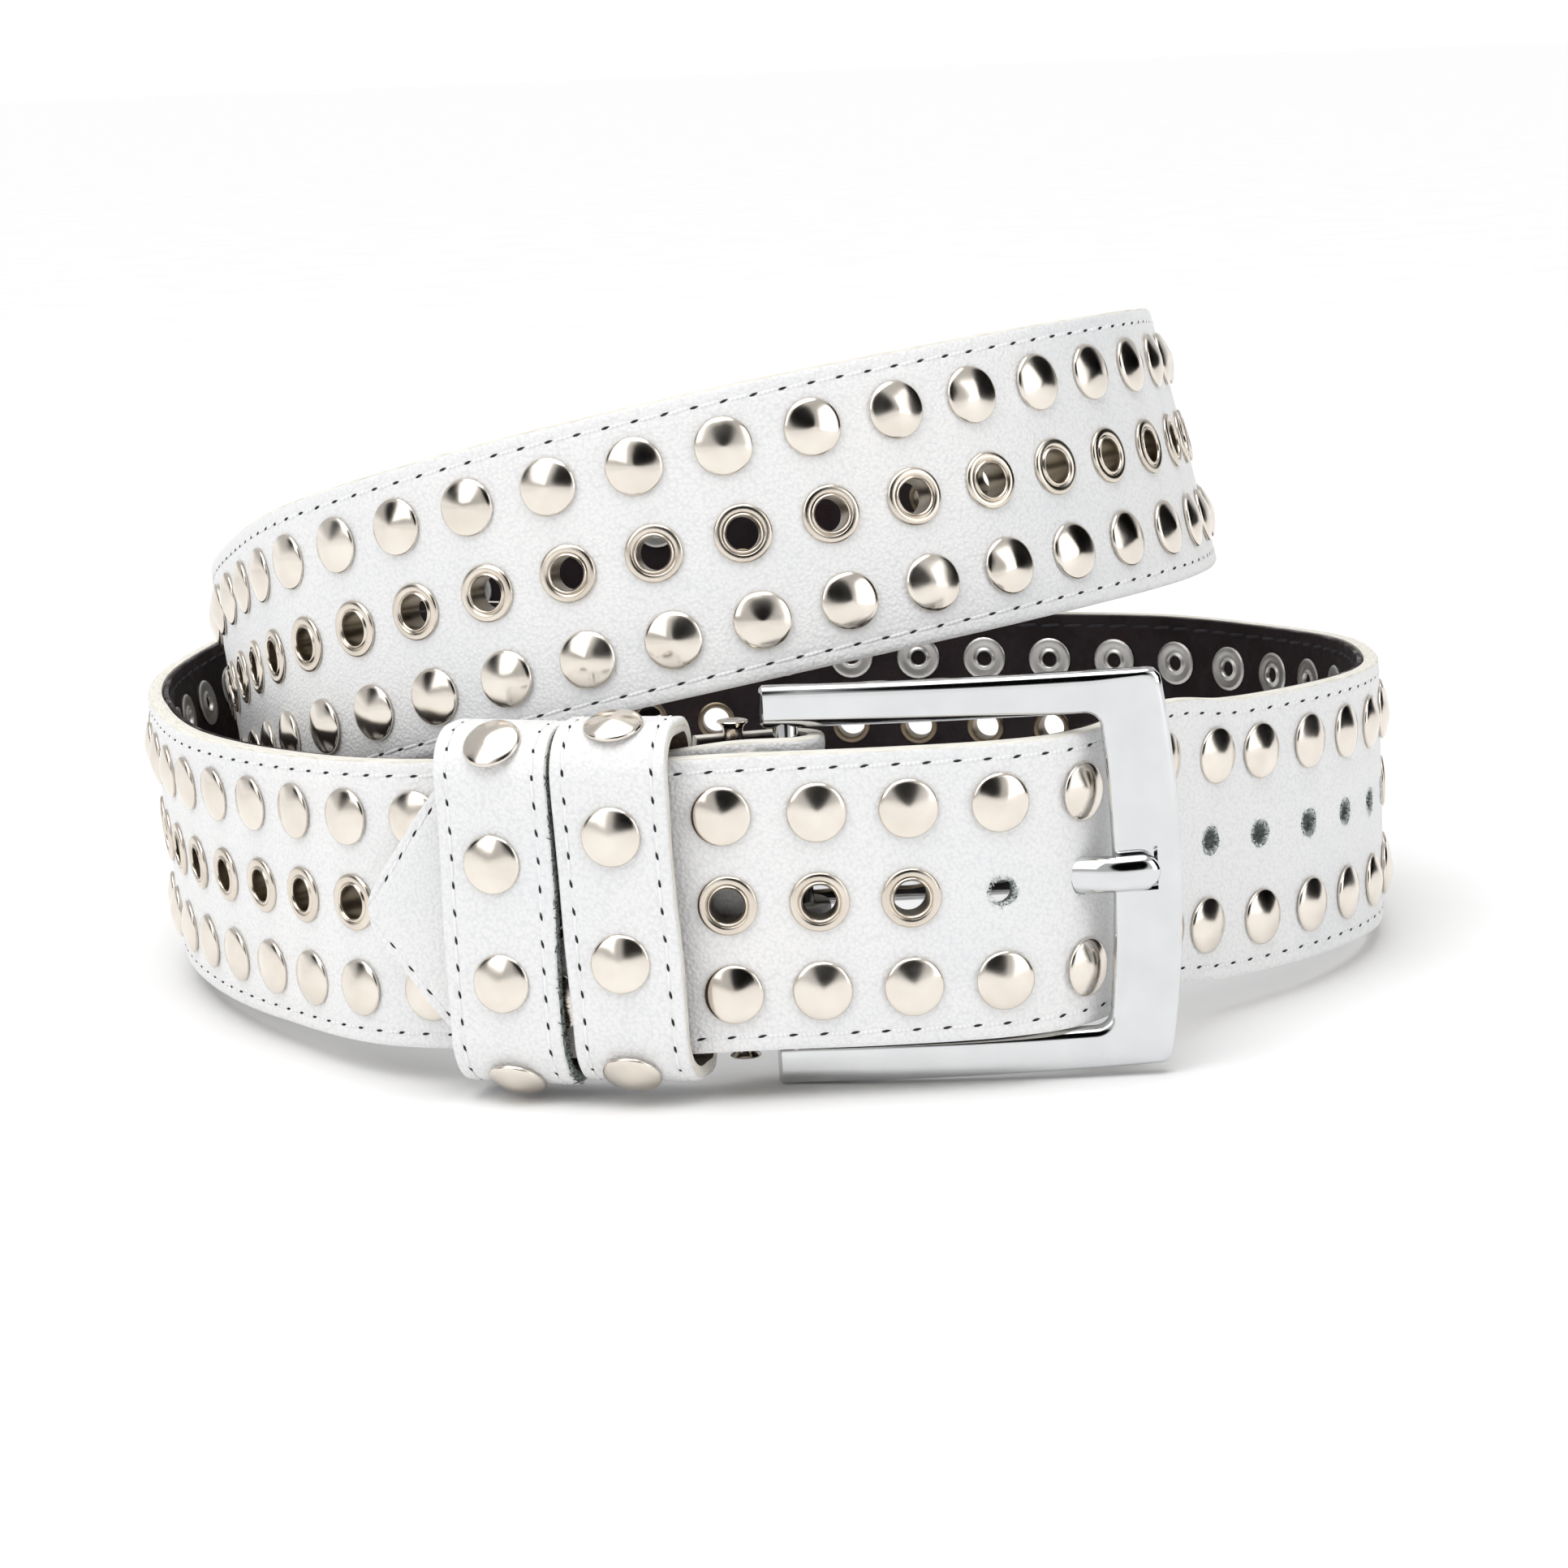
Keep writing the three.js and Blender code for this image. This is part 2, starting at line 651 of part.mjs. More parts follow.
function keeper({ along, studs }) {
  const outer = roundedBox(-keeperFront, keeperBack, 0, keeperHeight, keeperCorner);
  const wall = keeperThickness;
  const inner = roundedBox(
    wall - keeperFront,
    keeperBack - wall,
    wall,
    keeperHeight - wall,
    keeperCorner - wall,
  );
  let loop = toSolid(pushed(outer, [inner], keeperWidth));
  for (const share of studs) loop = loop.add(keeperStud(share * keeperHeight));
  const at = routeFrame(barLength - along);
  const way = new THREE.Vector3(at.along.x, at.along.y, 0).normalize();
  const inward = new THREE.Vector3().crossVectors(up, way);
  const turn = new THREE.Matrix4().makeBasis(inward, up, way);
  turn.setPosition(at.middle.x, at.middle.y, at.middle.z - halfWidth - keeperLift);
  return toGeometry(loop).applyMatrix4(turn);
}

const whiteLeather = { color: 0xeceef0, roughness: 0.5, metalness: 0 };
const darkLining = { color: 0x1e1719, roughness: 0.6, metalness: 0 };
const chrome = { color: 0xdcdcdc, roughness: 0.12, metalness: 1 };
const nickel = { color: 0xe8ddd0, roughness: 0.15, metalness: 1 };

// The pieces, moved together so that the object stands on the origin.
const pieces = [
  { name: "strap_face", geometry: toGeometry(strapFace), finish: whiteLeather },
  { name: "strap_lining", geometry: toGeometry(strapLining), finish: darkLining },
  { name: "buckle_frame", geometry: toGeometry(frame), finish: chrome },
  { name: "buckle_prong", geometry: toGeometry(prong), finish: chrome },
  { name: "fold_rivet_upper", geometry: toGeometry(rivet(1)), finish: nickel },
  { name: "fold_rivet_lower", geometry: toGeometry(rivet(-1)), finish: nickel },
  ...keeperPlaces.map((row) => ({ name: row.name, geometry: keeper(row), finish: whiteLeather })),
];

const whole = new THREE.Box3();
for (const { geometry } of pieces) {
  geometry.computeBoundingBox();
  whole.union(geometry.boundingBox);
}
const centre = whole.getCenter(new THREE.Vector3());

const group = new THREE.Group();
for (const { name, geometry, finish } of pieces) {
  geometry.translate(-centre.x, -centre.y, -whole.min.z);
  const mesh = new THREE.Mesh(geometry, new THREE.MeshStandardMaterial(finish));
  mesh.name = name;
  group.add(mesh);
}

export default group;
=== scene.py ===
# %% [markdown]
# # A studded leather belt, buckled and coiled in two turns
# The belt stands on its edge: a long strap of white leather over a dark lining, three rows of
# fittings, a chrome buckle and two loose keepers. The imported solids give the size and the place
# of every piece, so they are loaded first and each visible piece is then made around them.

import math

import bmesh
import bpy
import numpy as np
from mathutils import Matrix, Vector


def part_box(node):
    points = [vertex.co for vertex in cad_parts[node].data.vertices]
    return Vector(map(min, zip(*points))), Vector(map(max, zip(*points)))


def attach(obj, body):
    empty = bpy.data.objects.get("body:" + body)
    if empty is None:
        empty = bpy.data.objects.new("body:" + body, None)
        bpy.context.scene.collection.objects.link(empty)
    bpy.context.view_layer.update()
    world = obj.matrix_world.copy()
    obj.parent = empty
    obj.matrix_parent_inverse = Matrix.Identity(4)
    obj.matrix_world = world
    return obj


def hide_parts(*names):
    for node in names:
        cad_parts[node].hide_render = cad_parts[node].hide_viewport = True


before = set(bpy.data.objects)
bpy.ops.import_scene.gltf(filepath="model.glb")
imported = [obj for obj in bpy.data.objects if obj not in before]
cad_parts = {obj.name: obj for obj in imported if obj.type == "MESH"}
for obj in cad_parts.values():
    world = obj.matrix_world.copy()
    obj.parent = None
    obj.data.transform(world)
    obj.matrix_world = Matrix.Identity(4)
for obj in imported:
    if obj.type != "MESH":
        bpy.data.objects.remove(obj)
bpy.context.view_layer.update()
print("solids:", sorted(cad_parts))

# %% [markdown]
# ## One set of measures
# The belt is drawn in millimetres, as its maker would, and turned into metres at the end. The
# solids were moved so that the whole stands on the origin. That shift is read back from the
# rivets, whose place on the drawing is known, so that nothing has to be fitted by eye.

# %% Measures of the strap and the buckle
strap_width = 40.0
half_width = strap_width / 2
strap_thickness = 3.3
pitch = 12.0
row_spacing = 12.0
first_column = 27.5
tip_start = 2.0
stud_height = 1.6
eyelet_bore = 2.3
coil_width = 188.0
coil_depth = 194.0
lower_reach = 0.885

frame_length = 56.0
frame_height = 53.8
frame_thickness = 3.4
arm_height = 5.5
end_bar_width = 9.3
end_bulge = 2.2
opening_bulge = 1.2
frame_bow = 1.6
bar_radius = 1.7
bar_inset = 2.6
bar_x = 1.5
end_bar_rise = 2.8
fit = 0.3

overlap_spacing = strap_thickness + stud_height + fit
bar_depth = strap_thickness / 2 + fit + bar_radius
frame_lift = (frame_height - strap_width) / 2
lower_y = -coil_depth / 2 * lower_reach
bar_y = lower_y + bar_depth
end_bar_x = bar_x + frame_length - bar_inset - end_bar_width / 2
end_bar_y = bar_y - end_bar_rise
buckle_span = end_bar_x - bar_x
tip_rise = bar_depth + overlap_spacing
middle_height = frame_lift + half_width

rivet_behind_bar = 5.2
rivet_inset = 2.4
rivet_head_height = 0.8
rivet_x = bar_x - rivet_behind_bar
rivet_front = lower_y - strap_thickness / 2 - fit / 2 - rivet_head_height
rivet_low, rivet_high = (np.array(corner) * 1000 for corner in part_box("fold_rivet_upper"))
shift = np.array(
    [
        (rivet_low[0] + rivet_high[0]) / 2 - rivet_x,
        rivet_low[1] - rivet_front,
        (rivet_low[2] + rivet_high[2]) / 2 - (middle_height + half_width - rivet_inset),
    ]
)
print("shift of the solids, mm:", shift.round(3))

# %% [markdown]
# ## The route of the strap
# A belt in a coil is one smooth curve of its middle line. Each row below is a place on it: the
# turn from the front in degrees, the reach as a share of the coil's half size, the lift of the
# lower edge as a share of the strap's width, and the outward lean of the upper edge. A smooth
# curve with even tension runs through all of them, so the leather has no kinks.

# %% Places on the route
coil_rows = [
    (51.5, 0.852, 0.13, -1), (67, 0.905, 0.105, -1), (82, 0.96, 0.075, -1), (96, 1.0, 0.045, 0),
    (110, 1.05, 0.02, 1), (123, 1.07, 0, 2), (136, 1.06, 0, 2), (153, 1.0, 0, 0),
    (172, 0.96, 0.02, 0), (194, 0.995, 0.07, 2), (215, 1.055, 0.16, 7), (235, 1.02, 0.29, 9),
    (255, 0.91, 0.49, 7), (278, 0.825, 0.71, 4), (304, 0.81, 0.94, 2), (330, 0.775, 1.16, -4),
    (358, 0.73, 1.345, -8), (388, 0.69, 1.46, -12), (420, 0.67, 1.49, -13),
    (453, 0.675, 1.44, -14), (473, 0.735, 1.38, -12), (489, 0.85, 1.28, -9),
    (503, 0.965, 1.2, -5), (517, 1.02, 1.06, -2), (532, 1.035, 0.84, 0), (548, 1.06, 0.61, 2),
    (564, 1.115, 0.4, 6), (579, 1.145, 0.25, 10), (593, 1.12, 0.15, 11), (607, 1.065, 0.1, 9),
    (618, 1.02, 0.085, 6), (632, 0.965, 0.08, 4), (648, 0.925, 0.08, 5), (664, 0.905, 0.09, 4),
]
overlap_rows = [(0, 0, 1), (6, 0, 1), (21, 2.3, 0.9), (38, 7.8, 0.78), (56, 17.2, 0.64)]
frame_rows = [
    (0.28, 0.86), (0.56, 0.68), (0.72, 0.34), (0.815, -0.15), (0.896, -0.84), (0.987, -1.66),
    (1.087, -2.52),
]


def coil_place(turn, reach, lift, lean):
    angle = math.radians(turn)
    x = coil_width / 2 * reach * math.sin(angle)
    y = -coil_depth / 2 * reach * math.cos(angle)
    return x, y, lift * strap_width, math.radians(lean)


def overlap_places(spacing):
    places = []
    for i, (along, back, lift) in enumerate(overlap_rows):
        after = overlap_rows[min(i + 1, len(overlap_rows) - 1)]
        before = overlap_rows[max(i - 1, 0)]
        slope = (after[1] - before[1]) / (after[0] - before[0])
        size = math.hypot(1, slope)
        x = bar_x - along - spacing * slope / size
        y = lower_y + back - spacing / size
        places.append((x, y, lift * frame_lift, 0.0))
    return places


def frame_place(along, rise):
    behind = end_bar_y + frame_thickness / 2
    return bar_x + buckle_span * along, behind - tip_rise * rise, frame_lift, 0.0


places = overlap_places(overlap_spacing)[::-1]
places += [frame_place(*row) for row in frame_rows]
places += [coil_place(*row) for row in coil_rows]
places += overlap_places(0)[::-1]
places = np.array(places)
print("places on the route:", len(places))


# %% The smooth curve through them
def curve_pieces(points):
    """Cubic coefficients of the curve between each two points, its tension set by their spacing."""
    first = 2 * points[0] - points[1]
    last = 2 * points[-1] - points[-2]
    padded = np.vstack([first, points, last])
    steps = np.sqrt(np.linalg.norm(np.diff(padded, axis=0), axis=1))[:, None]
    a, b, c, d = padded[:-3], padded[1:-2], padded[2:-1], padded[3:]
    before, here, after = steps[:-2], steps[1:-1], steps[2:]
    start = ((b - a) / before - (c - a) / (before + here) + (c - b) / here) * here
    end = ((c - b) / here - (d - b) / (here + after) + (d - c) / after) * here
    return b, start, -3 * b + 3 * c - 2 * start - end, 2 * b - 2 * c + start + end


leans = places[:, 3]
middles = np.column_stack([places[:, :2], places[:, 2] + half_width * np.cos(leans)])
cubic = curve_pieces(middles)
samples = np.linspace(0, len(middles) - 1, 24001)
piece = np.minimum(samples.astype(int), len(middles) - 2)
part = (samples - piece)[:, None]
curve = cubic[0][piece] + part * (cubic[1][piece] + part * (cubic[2][piece] + part * cubic[3][piece]))
slopes = cubic[1][piece] + part * (2 * cubic[2][piece] + 3 * part * cubic[3][piece])
run = np.concatenate([[0], np.cumsum(np.linalg.norm(np.diff(curve, axis=0), axis=1))])
bar_run = run[-1] - tip_start
print("route, mm:", round(run[-1], 1))

# %% [markdown]
# ## The strap's own directions
# At every half millimetre the strap needs three directions: along it, across it to the upper
# edge, and out of its face. Past the pivot bar it turns round the bar and runs back, and there
# the directions turn with it. All the leather, stitches and fittings are placed with this one
# table, so they stay on the strap wherever it bends. The last centimetres before the buckle rise
# by nearly a millimetre, as in the photograph.

# %% Directions along the strap
fold_turn = math.radians(194)
fold_reach = 11.5
fold_rise = 0.9
rise_start = 18.0
rise_reach = 14.0
strap_length = bar_run + bar_depth * fold_turn + fold_reach


def unit(rows):
    return rows / np.linalg.norm(rows, axis=-1, keepdims=True)


stations = np.linspace(0, bar_run, int(bar_run * 2) + 1)
at = np.interp(stations + tip_start, run, samples)
middle = np.column_stack([np.interp(at, samples, curve[:, i]) for i in range(3)])
along = unit(np.column_stack([np.interp(at, samples, slopes[:, i]) for i in range(3)]))
level_out = unit(np.cross(along, [0, 0, 1]))
level_across = unit(np.cross(level_out, along))
lean = np.interp(at, np.arange(len(leans)), leans)[:, None]
across = level_across * np.cos(lean) + level_out * np.sin(lean)
out = unit(np.cross(along, across))

turn_steps = 60
turned = np.linspace(0, fold_turn, turn_steps + 1)[1:, None]
fold_out = out[-1] * np.cos(turned) + along[-1] * np.sin(turned)
fold_along = along[-1] * np.cos(turned) - out[-1] * np.sin(turned)
fold_middle = middle[-1] - out[-1] * bar_depth + fold_out * bar_depth
stations = np.concatenate([stations, bar_run + turned[:, 0] * bar_depth, [strap_length]])
middle = np.vstack([middle, fold_middle, fold_middle[-1] + fold_along[-1] * fold_reach])
risen = np.clip((stations - bar_run + rise_start) / rise_reach, 0, 1)
middle[:, 2] += fold_rise * risen**2 * (3 - 2 * risen)
along = np.vstack([along, fold_along, fold_along[-1:]])
out = np.vstack([out, fold_out, fold_out[-1:]])
across = np.vstack([across, np.repeat(across[-1:], turn_steps + 1, axis=0)])
print("strap with its fold, mm:", round(strap_length, 1))


def read_table(table, lengths):
    return np.column_stack([np.interp(lengths, stations, table[:, i]) for i in range(3)])


def on_strap(lengths, sideways, height):
    """Points at lengths from the tip, sideways from the middle line and out from the middle layer."""
    lengths, sideways, height = np.broadcast_arrays(lengths, sideways, height)
    lengths = np.asarray(lengths, float).ravel()
    points = read_table(middle, lengths)
    points = points + read_table(across, lengths) * np.asarray(sideways, float).ravel()[:, None]
    return points + read_table(out, lengths) * np.asarray(height, float).ravel()[:, None]


# %% [markdown]
# ## Node helpers and finishes
# Every finish is a small set of nodes in place of a picture, so it has the right scale at any
# distance. One helper adds a node with its settings and its links, and another mixes a sRGB
# colour code into the linear values that the shader needs.

# %% Helpers for the finishes
def linear(code):
    """A colour code such as ECEEF0 as linear red, green, blue and 1."""
    channels = [int(code[i : i + 2], 16) / 255 for i in (0, 2, 4)]
    return [c / 12.92 if c < 0.04045 else ((c + 0.055) / 1.055) ** 2.4 for c in channels] + [1.0]


def add_node(tree, kind, settings=(), links=()):
    """A node with its own settings, and its sockets given a value or linked to another socket."""
    node = tree.nodes.new(kind)
    for name, value in dict(settings).items():
        setattr(node, name, value)
    for name, value in dict(links).items():
        socket = node.inputs[name]
        if isinstance(value, bpy.types.NodeSocket):
            tree.links.new(value, socket)
        else:
            socket.default_value = value
    return node


def new_finish(name, colour, roughness, metallic=0.0):
    material = bpy.data.materials.new(name)
    material.use_nodes = True
    shader = material.node_tree.nodes["Principled BSDF"]
    shader.inputs["Base Color"].default_value = linear(colour)
    shader.inputs["Roughness"].default_value = roughness
    shader.inputs["Metallic"].default_value = metallic
    material.diffuse_color = linear(colour)
    return material, material.node_tree, shader


def own_places(tree):
    return add_node(tree, "ShaderNodeTexCoord").outputs["Object"]


def laid_places(tree):
    """The leather's own length, side and height in metres, kept from when it was flat."""
    return add_node(tree, "ShaderNodeAttribute", {"attribute_name": "lay"}).outputs["Vector"]


def noise(tree, places, scale, detail=3.0, roughness=0.55):
    links = {"Vector": places, "Scale": scale, "Detail": detail, "Roughness": roughness}
    return add_node(tree, "ShaderNodeTexNoise", {}, links).outputs["Fac"]


def ramp(tree, factor, stops):
    """A colour ramp over a factor, with its stops as (place, colour code)."""
    node = add_node(tree, "ShaderNodeValToRGB", {}, {"Fac": factor})
    elements = node.color_ramp.elements
    while len(elements) < len(stops):
        elements.new(0.5)
    for element, (place, code) in zip(elements, stops):
        element.position = place
        element.color = linear(code)
    return node.outputs["Color"]


def spread(tree, factor, low, high, from_low=0.3, from_high=0.7):
    links = {"Value": factor, "From Min": from_low, "From Max": from_high, "To Min": low, "To Max": high}
    return add_node(tree, "ShaderNodeMapRange", {}, links).outputs["Result"]


def bump(tree, height, distance, strength=1.0, normal=None):
    links = {"Height": height, "Distance": distance, "Strength": strength}
    if normal is not None:
        links["Normal"] = normal
    return add_node(tree, "ShaderNodeBump", {}, links).outputs["Normal"]


# %% [markdown]
# ### White leather
# The face is corrected-grain leather with a thin white coat. It has pebbles of about 0.4 mm,
# softer creases of a few millimetres and a faint unevenness in its gloss. The pebbles are
# Voronoi cells whose edges sink a few hundredths of a millimetre. Their hollows are mixed
# towards a light grey, which is painted shade in the pits.

# %% White leather
white_leather, tree, shader = new_finish("white_leather", "E9E9E9", 0.45)
places_here = laid_places(tree)
pebbles = add_node(
    tree,
    "ShaderNodeTexVoronoi",
    {"feature": "SMOOTH_F1"},
    {"Vector": places_here, "Scale": 1 / 0.0005, "Smoothness": 0.4, "Randomness": 1.0},
).outputs["Distance"]
creases = noise(tree, places_here, 1 / 0.004, 5.0, 0.6)
clouds = noise(tree, places_here, 1 / 0.035, 3.0)
pebbled = bump(tree, pebbles, 0.00014, 0.8)
creased = bump(tree, creases, 0.0002, 0.4, pebbled)
tone = ramp(tree, clouds, [(0.3, "EAEBEC"), (0.5, "EFEFEF"), (0.75, "F2F1F0")])
# Painted shade: the colour is mixed towards a light grey in the pebbles' hollows.
pit_shade = spread(tree, pebbles, 0.0, 0.28, 0.35, 0.8)
pit_shaded_tone = add_node(
    tree,
    "ShaderNodeMix",
    {"data_type": "RGBA"},
    {"Factor": pit_shade, 6: tone, 7: linear("C6C8CB")},
).outputs[2]
tree.links.new(pit_shaded_tone, shader.inputs["Base Color"])
tree.links.new(spread(tree, creases, 0.36, 0.52), shader.inputs["Roughness"])
tree.links.new(creased, shader.inputs["Normal"])
shader.inputs["Specular IOR Level"].default_value = 0.45
shader.inputs["Coat Weight"].default_value = 0.08
shader.inputs["Coat Roughness"].default_value = 0.35

# %% [markdown]
# ### Cut edges
# Where the strap was cut, its layers show as a cream band with finer fibres along it. Noise that
# is stretched along the strap gives those stripes.

# %% Cut edge of the leather
cut_edge, tree, shader = new_finish("cut_leather_edge", "DDD6C6", 0.75)
places_here = laid_places(tree)
stretched = add_node(
    tree, "ShaderNodeMapping", {}, {"Vector": places_here, "Scale": (0.12, 1.0, 1.6)}
).outputs["Vector"]
fibres = noise(tree, stretched, 1 / 0.0004, 4.0, 0.7)
patches = noise(tree, places_here, 1 / 0.009, 3.0)
tone = ramp(tree, fibres, [(0.3, "CBC5B8"), (0.5, "E6E3DA"), (0.72, "F4F2EC")])
tree.links.new(tone, shader.inputs["Base Color"])
tree.links.new(spread(tree, patches, 0.6, 0.85), shader.inputs["Roughness"])
tree.links.new(bump(tree, fibres, 0.00012, 0.7), shader.inputs["Normal"])

# %% [markdown]
# ### Dark lining
# The lining is nearly black, with a slightly glossy smear of glue where it was pressed to the
# face near its edges. The gloss follows large noise, and the grain is a fine nap.

# %% Dark lining
dark_lining, tree, shader = new_finish("dark_lining", "1A1214", 0.6)
places_here = laid_places(tree)
nap = noise(tree, places_here, 1 / 0.0005, 4.0, 0.7)
smears = noise(tree, places_here, 1 / 0.007, 3.0, 0.6)
tone = ramp(tree, smears, [(0.35, "150C0E"), (0.6, "1F1417"), (0.75, "2B1E20")])
tree.links.new(tone, shader.inputs["Base Color"])
tree.links.new(spread(tree, smears, 0.72, 0.22, 0.45, 0.68), shader.inputs["Roughness"])
tree.links.new(bump(tree, nap, 0.00008, 0.6), shader.inputs["Normal"])
shader.inputs["Specular IOR Level"].default_value = 0.25

# %% [markdown]
# ### Suede
# The keepers have no lining: inside, the leather's flesh side shows, brown and softly napped.

# %% Suede inside of the keepers
suede, tree, shader = new_finish("brown_suede", "5A4A40", 0.95)
nap = noise(tree, own_places(tree), 1 / 0.0006, 5.0, 0.7)
tree.links.new(ramp(tree, nap, [(0.3, "3B302A"), (0.7, "73604F")]), shader.inputs["Base Color"])
tree.links.new(bump(tree, nap, 0.00015, 0.8), shader.inputs["Normal"])
shader.inputs["Sheen Weight"].default_value = 0.2

# %% [markdown]
# ### Metals
# The buckle is cool chrome with a soft polish. The studs and eyelets are warm nickel, pressed
# from thin sheet, so their gloss varies a little from one to the next. The eyelets are a little
# duller, and their tubes are a darker brown grey, which is painted shade inside the holes. The
# washers on the back are tumbled and have a satin surface.


# %% Chrome and four kinds of nickel
def new_metal(name, dark, light, low, high, grain_size, depth):
    material, tree, shader = new_finish(name, light, low, 1.0)
    places_here = own_places(tree)
    haze = noise(tree, places_here, 1 / 0.006, 3.0)
    grain = noise(tree, places_here, 1 / grain_size, 3.0)
    tree.links.new(ramp(tree, haze, [(0.3, dark), (0.7, light)]), shader.inputs["Base Color"])
    tree.links.new(spread(tree, haze, low, high), shader.inputs["Roughness"])
    tree.links.new(bump(tree, grain, depth, 0.35), shader.inputs["Normal"])
    return material


chrome = new_metal("polished_chrome", "D3D4D5", "DBDCDD", 0.08, 0.12, 0.006, 0.00001)
nickel = new_metal("warm_nickel", "DCD3C8", "EAE3D9", 0.13, 0.22, 0.0012, 0.00001)
eyelet_nickel = new_metal("dull_nickel", "CDC3B6", "E3DACE", 0.16, 0.25, 0.001, 0.00001)
# Painted shade: the eyelet tubes line the holes, and their dark brown grey stands for the shade in the
# bores.
bore_shade_nickel = new_metal("bore_shade_nickel", "6E6254", "958772", 0.28, 0.42, 0.001, 0.00001)
satin_nickel = new_metal("satin_nickel", "C4C2BE", "DDDBD8", 0.3, 0.45, 0.0006, 0.00002)

# %% [markdown]
# ### Thread, needle holes and loose fibres
# The seam is white bonded thread. A needle leaves a small hole at each end of a stitch, drawn as
# a dark rod whose colour is painted shade in the hole, and a punch leaves torn grey-green fibres
# in the plain holes. The ends that stand out of a hole are paler, and those on the keeper's edge
# that faces the other keeper are nearly black, partly their own colour and partly painted shade.

# %% Thread, needle hole and fibre
thread, tree, shader = new_finish("white_thread", "E9E9EA", 0.7)
strands = add_node(
    tree, "ShaderNodeTexWave", {}, {"Vector": own_places(tree), "Scale": 1 / 0.002, "Distortion": 2.0}
).outputs["Fac"]
tree.links.new(bump(tree, strands, 0.00003, 0.15), shader.inputs["Normal"])
tree.links.new(ramp(tree, strands, [(0.2, "E6E6E8"), (0.8, "F2F2F2")]), shader.inputs["Base Color"])

# Painted shade: the needle holes are dark rods standing for the shade inside them; the same dark finish is
# the thread on the lining.
hole_shade_and_dark_thread, tree, shader = new_finish("hole_shade_and_dark_thread", "201E24", 0.9)
pricks = noise(tree, own_places(tree), 1 / 0.003)
tree.links.new(ramp(tree, pricks, [(0.3, "17161A"), (0.7, "302E35")]), shader.inputs["Base Color"])

core_fibre, tree, shader = new_finish("grey_green_core", "7C8C86", 0.9)
tufts = noise(tree, own_places(tree), 1 / 0.0007, 4.0, 0.7)
tone = ramp(tree, tufts, [(0.3, "4A524F"), (0.5, "8D9693"), (0.72, "C9CDC9")])
tree.links.new(tone, shader.inputs["Base Color"])
tree.links.new(bump(tree, tufts, 0.00015, 0.8), shader.inputs["Normal"])

torn_fibre, tree, shader = new_finish("torn_light_fibre", "C3C9C5", 0.9)
strands = noise(tree, own_places(tree), 1 / 0.0009, 3.0)
tree.links.new(ramp(tree, strands, [(0.35, "B2BCB8"), (0.65, "F0F2F0")]), shader.inputs["Base Color"])

# Near black, partly the fibres' own colour and partly painted shade of the gap between the keepers.
near_black_fibre_and_gap_shade, tree, shader = new_finish("frayed_fibre_and_gap_shade", "2B2D2B", 0.95)
strands = noise(tree, own_places(tree), 1 / 0.0009, 3.0)
tree.links.new(ramp(tree, strands, [(0.35, "1C1D1C"), (0.65, "59615C")]), shader.inputs["Base Color"])
print("finishes:", len(bpy.data.materials))


# %% [markdown]
# ## Making a piece
# Each piece is a list of points in millimetres and a list of faces. One helper moves the points
# by the solids' shift, turns them into metres, hands the piece its finishes and ties it to the
# belt's only body. Its faces are turned outwards, and only sharp corners stay sharp.

# %% A piece from points and faces
def new_piece(name, points, faces, finishes, kinds=None, lay=None, sharp=35):
    mesh = bpy.data.meshes.new(name)
    mesh.from_pydata(((np.asarray(points) + shift) / 1000).tolist(), [], faces)
    for finish in finishes:
        mesh.materials.append(finish)
    if kinds is not None:
        mesh.polygons.foreach_set("material_index", kinds)
    if lay is not None:
        stored = mesh.attributes.new("lay", "FLOAT_VECTOR", "POINT")
        stored.data.foreach_set("vector", (np.asarray(lay, np.float32) / 1000).ravel())
    shell = bmesh.new()
    shell.from_mesh(mesh)
    bmesh.ops.recalc_face_normals(shell, faces=shell.faces)
    shell.to_mesh(mesh)
    shell.free()
    mesh.shade_smooth()
    mesh.set_sharp_from_angle(angle=math.radians(sharp))
    obj = bpy.data.objects.new(name, mesh)
    bpy.context.scene.collection.objects.link(obj)
    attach(obj, "root")
    print(name, "faces:", len(mesh.polygons))
    return obj


# %% [markdown]
# ## The leather of the strap
# The strap is drawn flat, as a grid of lengths and widths with a rounded section, and then bent
# along the route. Each column of fittings has a hole on the middle line: the grid opens there
# into a ring. Towards the tip the section narrows, and a slot is left open in the fold for the
# prong. A shallow groove takes the seam near each edge.

# %% Stations along the strap
column_count = 96
columns = first_column + pitch * np.arange(column_count)
slot_reach = 4.4
slot_start = bar_run - slot_reach
slot_end = bar_run + bar_depth * math.pi + slot_reach
hole_side = 3.0
hole_step = hole_side / 2
hole_points = 16
ragged = 0.07
tip_stations = [0, 0.25, 0.6, 1.1, 1.8, 2.7, 3.8, 5.0, 6.5, 8.0, 9.5, 11, 12.5, 14, 15.5, 17, 18.5, 20]
grid_offsets = np.array([-6, -4.5, -3, -1.5, 0, 1.5, 3, 4.5])
lengths = list(tip_stations)
for centre in columns:
    lengths += list(centre + grid_offsets)
lengths += list(np.linspace(columns[-1] + 6, slot_start, 6)[:-1])
lengths += list(np.linspace(slot_start, slot_end, 28))
lengths += list(np.linspace(slot_end, strap_length, 7)[1:])
lengths = np.array(lengths)
tip_table = [(0, 0.07), (0.25, 0.115), (0.6, 0.15), (1.1, 0.185), (1.8, 0.235), (2.7, 0.295), (5, 0.43)]
tip_table += [(7.4, 0.58), (10, 0.73), (12.5, 0.86), (15.5, 0.965), (18.5, 1.0)]
tip_lengths, tip_shares = np.array(tip_table).T
half_widths = half_width * np.interp(lengths, tip_lengths, tip_shares)
print("stations along the strap:", len(lengths))


